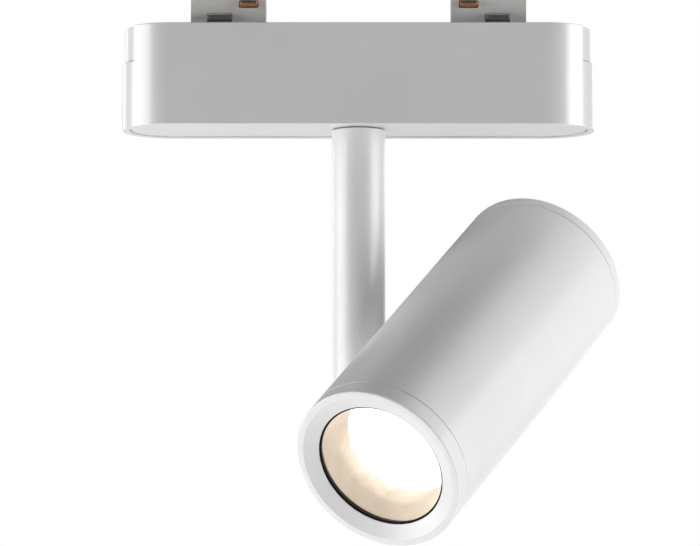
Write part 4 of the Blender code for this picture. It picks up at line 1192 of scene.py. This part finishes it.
def soft_light(name, azimuth, elevation, width, height, power):
    """A soft box on a ball round the lamp. Azimuth 0 is on the camera's side, 90 to its right."""
    centre = (CAD_BOX[0] + CAD_BOX[1]) / 2
    a, e = math.radians(azimuth), math.radians(elevation)
    towards = Vector((math.sin(a) * math.cos(e), -math.cos(a) * math.cos(e), math.sin(e)))
    data = bpy.data.lights.new(name, "AREA")
    data.shape = "RECTANGLE"
    data.size = width
    data.size_y = height
    data.energy = power
    obj = bpy.data.objects.new(name, data)
    obj.location = centre + towards * LIGHT_DISTANCE
    obj.rotation_euler = towards.to_track_quat("Z", "Y").to_euler()
    obj.visible_camera = False
    bpy.context.scene.collection.objects.link(obj)


def world():
    """A surround that is white where the camera sees it, and lights the lamp only faintly."""
    lighting = (0.03, 0.03, 0.0305, 1.0)
    seen = (1.0, 1.0, 1.0, 1.0)
    studio = bpy.data.worlds.new("studio")
    bpy.context.scene.world = studio
    studio.use_nodes = True
    nodes = studio.node_tree.nodes
    links = studio.node_tree.links
    background = nodes["Background"]
    path = nodes.new("ShaderNodeLightPath")
    mix = nodes.new("ShaderNodeMix")
    mix.data_type = "RGBA"
    mix.inputs[6].default_value = lighting
    mix.inputs[7].default_value = seen
    links.new(path.outputs["Is Camera Ray"], mix.inputs[0])
    links.new(mix.outputs[2], background.inputs["Color"])


def floor_finish(name):
    """Pale and matt, and lit a little from within."""
    finish = Finish(name, 0.7)
    finish.colour(finish.blend(finish.noise(0.3, 2.0), (0.8, 0.8, 0.8), (0.83, 0.83, 0.825)))
    finish.bump(finish.noise(2 * MM, 2.0), 0.1 * MM, 0.3)
    finish.set(Emission_Color=(1.0, 1.0, 1.0, 1.0), Emission_Strength=0.5)
    return finish


def lay(shape, name, finish):
    """Put a floor in its place, as part of the stage."""
    obj = object_from(shape, name)
    obj.location.z = FLOOR_HEIGHT
    obj.data.materials.append(finish.material)
    return obj


def floor():
    """A pale floor well below the lamp."""
    shape = bmesh.new()
    bmesh.ops.create_grid(shape, x_segments=8, y_segments=8, size=FLOOR_HALF)
    lay(shape, "floor", floor_finish("floor"))


def far_floor():
    """A rim round the floor that fills the picture and turns white into the distance."""
    shape = bmesh.new()
    bmesh.ops.create_grid(shape, x_segments=FAR_TILES, y_segments=FAR_TILES, size=FLOOR_HALF * FAR_TILES)
    middle = [face for face in shape.faces if face.calc_center_median().length < FLOOR_HALF]
    bmesh.ops.delete(shape, geom=middle, context="FACES")
    finish = floor_finish("far_floor")
    distance = finish.spread(finish.from_axis(), 0.0, 1.0, FADE_START, FADE_END)
    finish.emission(finish.blend(distance, (1.0, 1.0, 1.0), (2.0, 2.0, 2.0)))
    obj = lay(shape, "far_floor", finish)
    obj.visible_diffuse = False
    obj.visible_glossy = False
    obj.visible_shadow = False


camera()
world()
floor()
far_floor()
soft_light("left", -79, 0, 1.15, 1.0, 13.8)
soft_light("front_left", -38, 0, 0.3, 1.0, 0.2)
soft_light("right", 76, 0, 0.9, 1.0, 13)
soft_light("right_top", 90, 50, 0.7, 0.7, 1.8)
soft_light("back_left", -145, 5, 0.5, 0.9, 2)
soft_light("back_right", 155, 15, 0.6, 0.7, 2)
soft_light("back_low", 180, -6, 1.0, 0.5, 1.1)
bpy.context.scene.view_settings.view_transform = "Standard"

housing()
bottom_plate()
housing_screws()
adapter_block("left", (-1,))
adapter_block("right", (-1, 1))
for side_name in SIGNS:
    release_tab(side_name)
    tab_spring(side_name)
    lock_fin(side_name, "front", -1)
    lock_fin(side_name, "back", 1)
for contact_name in ("live", "neutral", "earth"):
    contact(contact_name)
barrel()
bezel()
rear_cap()
cap_screws()
outer_saddle()
mouth_ring()
cone()
lens()
stem_tube()
end_cap()
knuckle()
washer()

# The CAD meshes that no piece stands for get the same finishes.
for subpart in frame["record"]["subparts"]:
    slots = frame["nodes"][subpart["node"]].data.materials
    slots.clear()
    slots.append(FINISHES[subpart["material_slot"]])
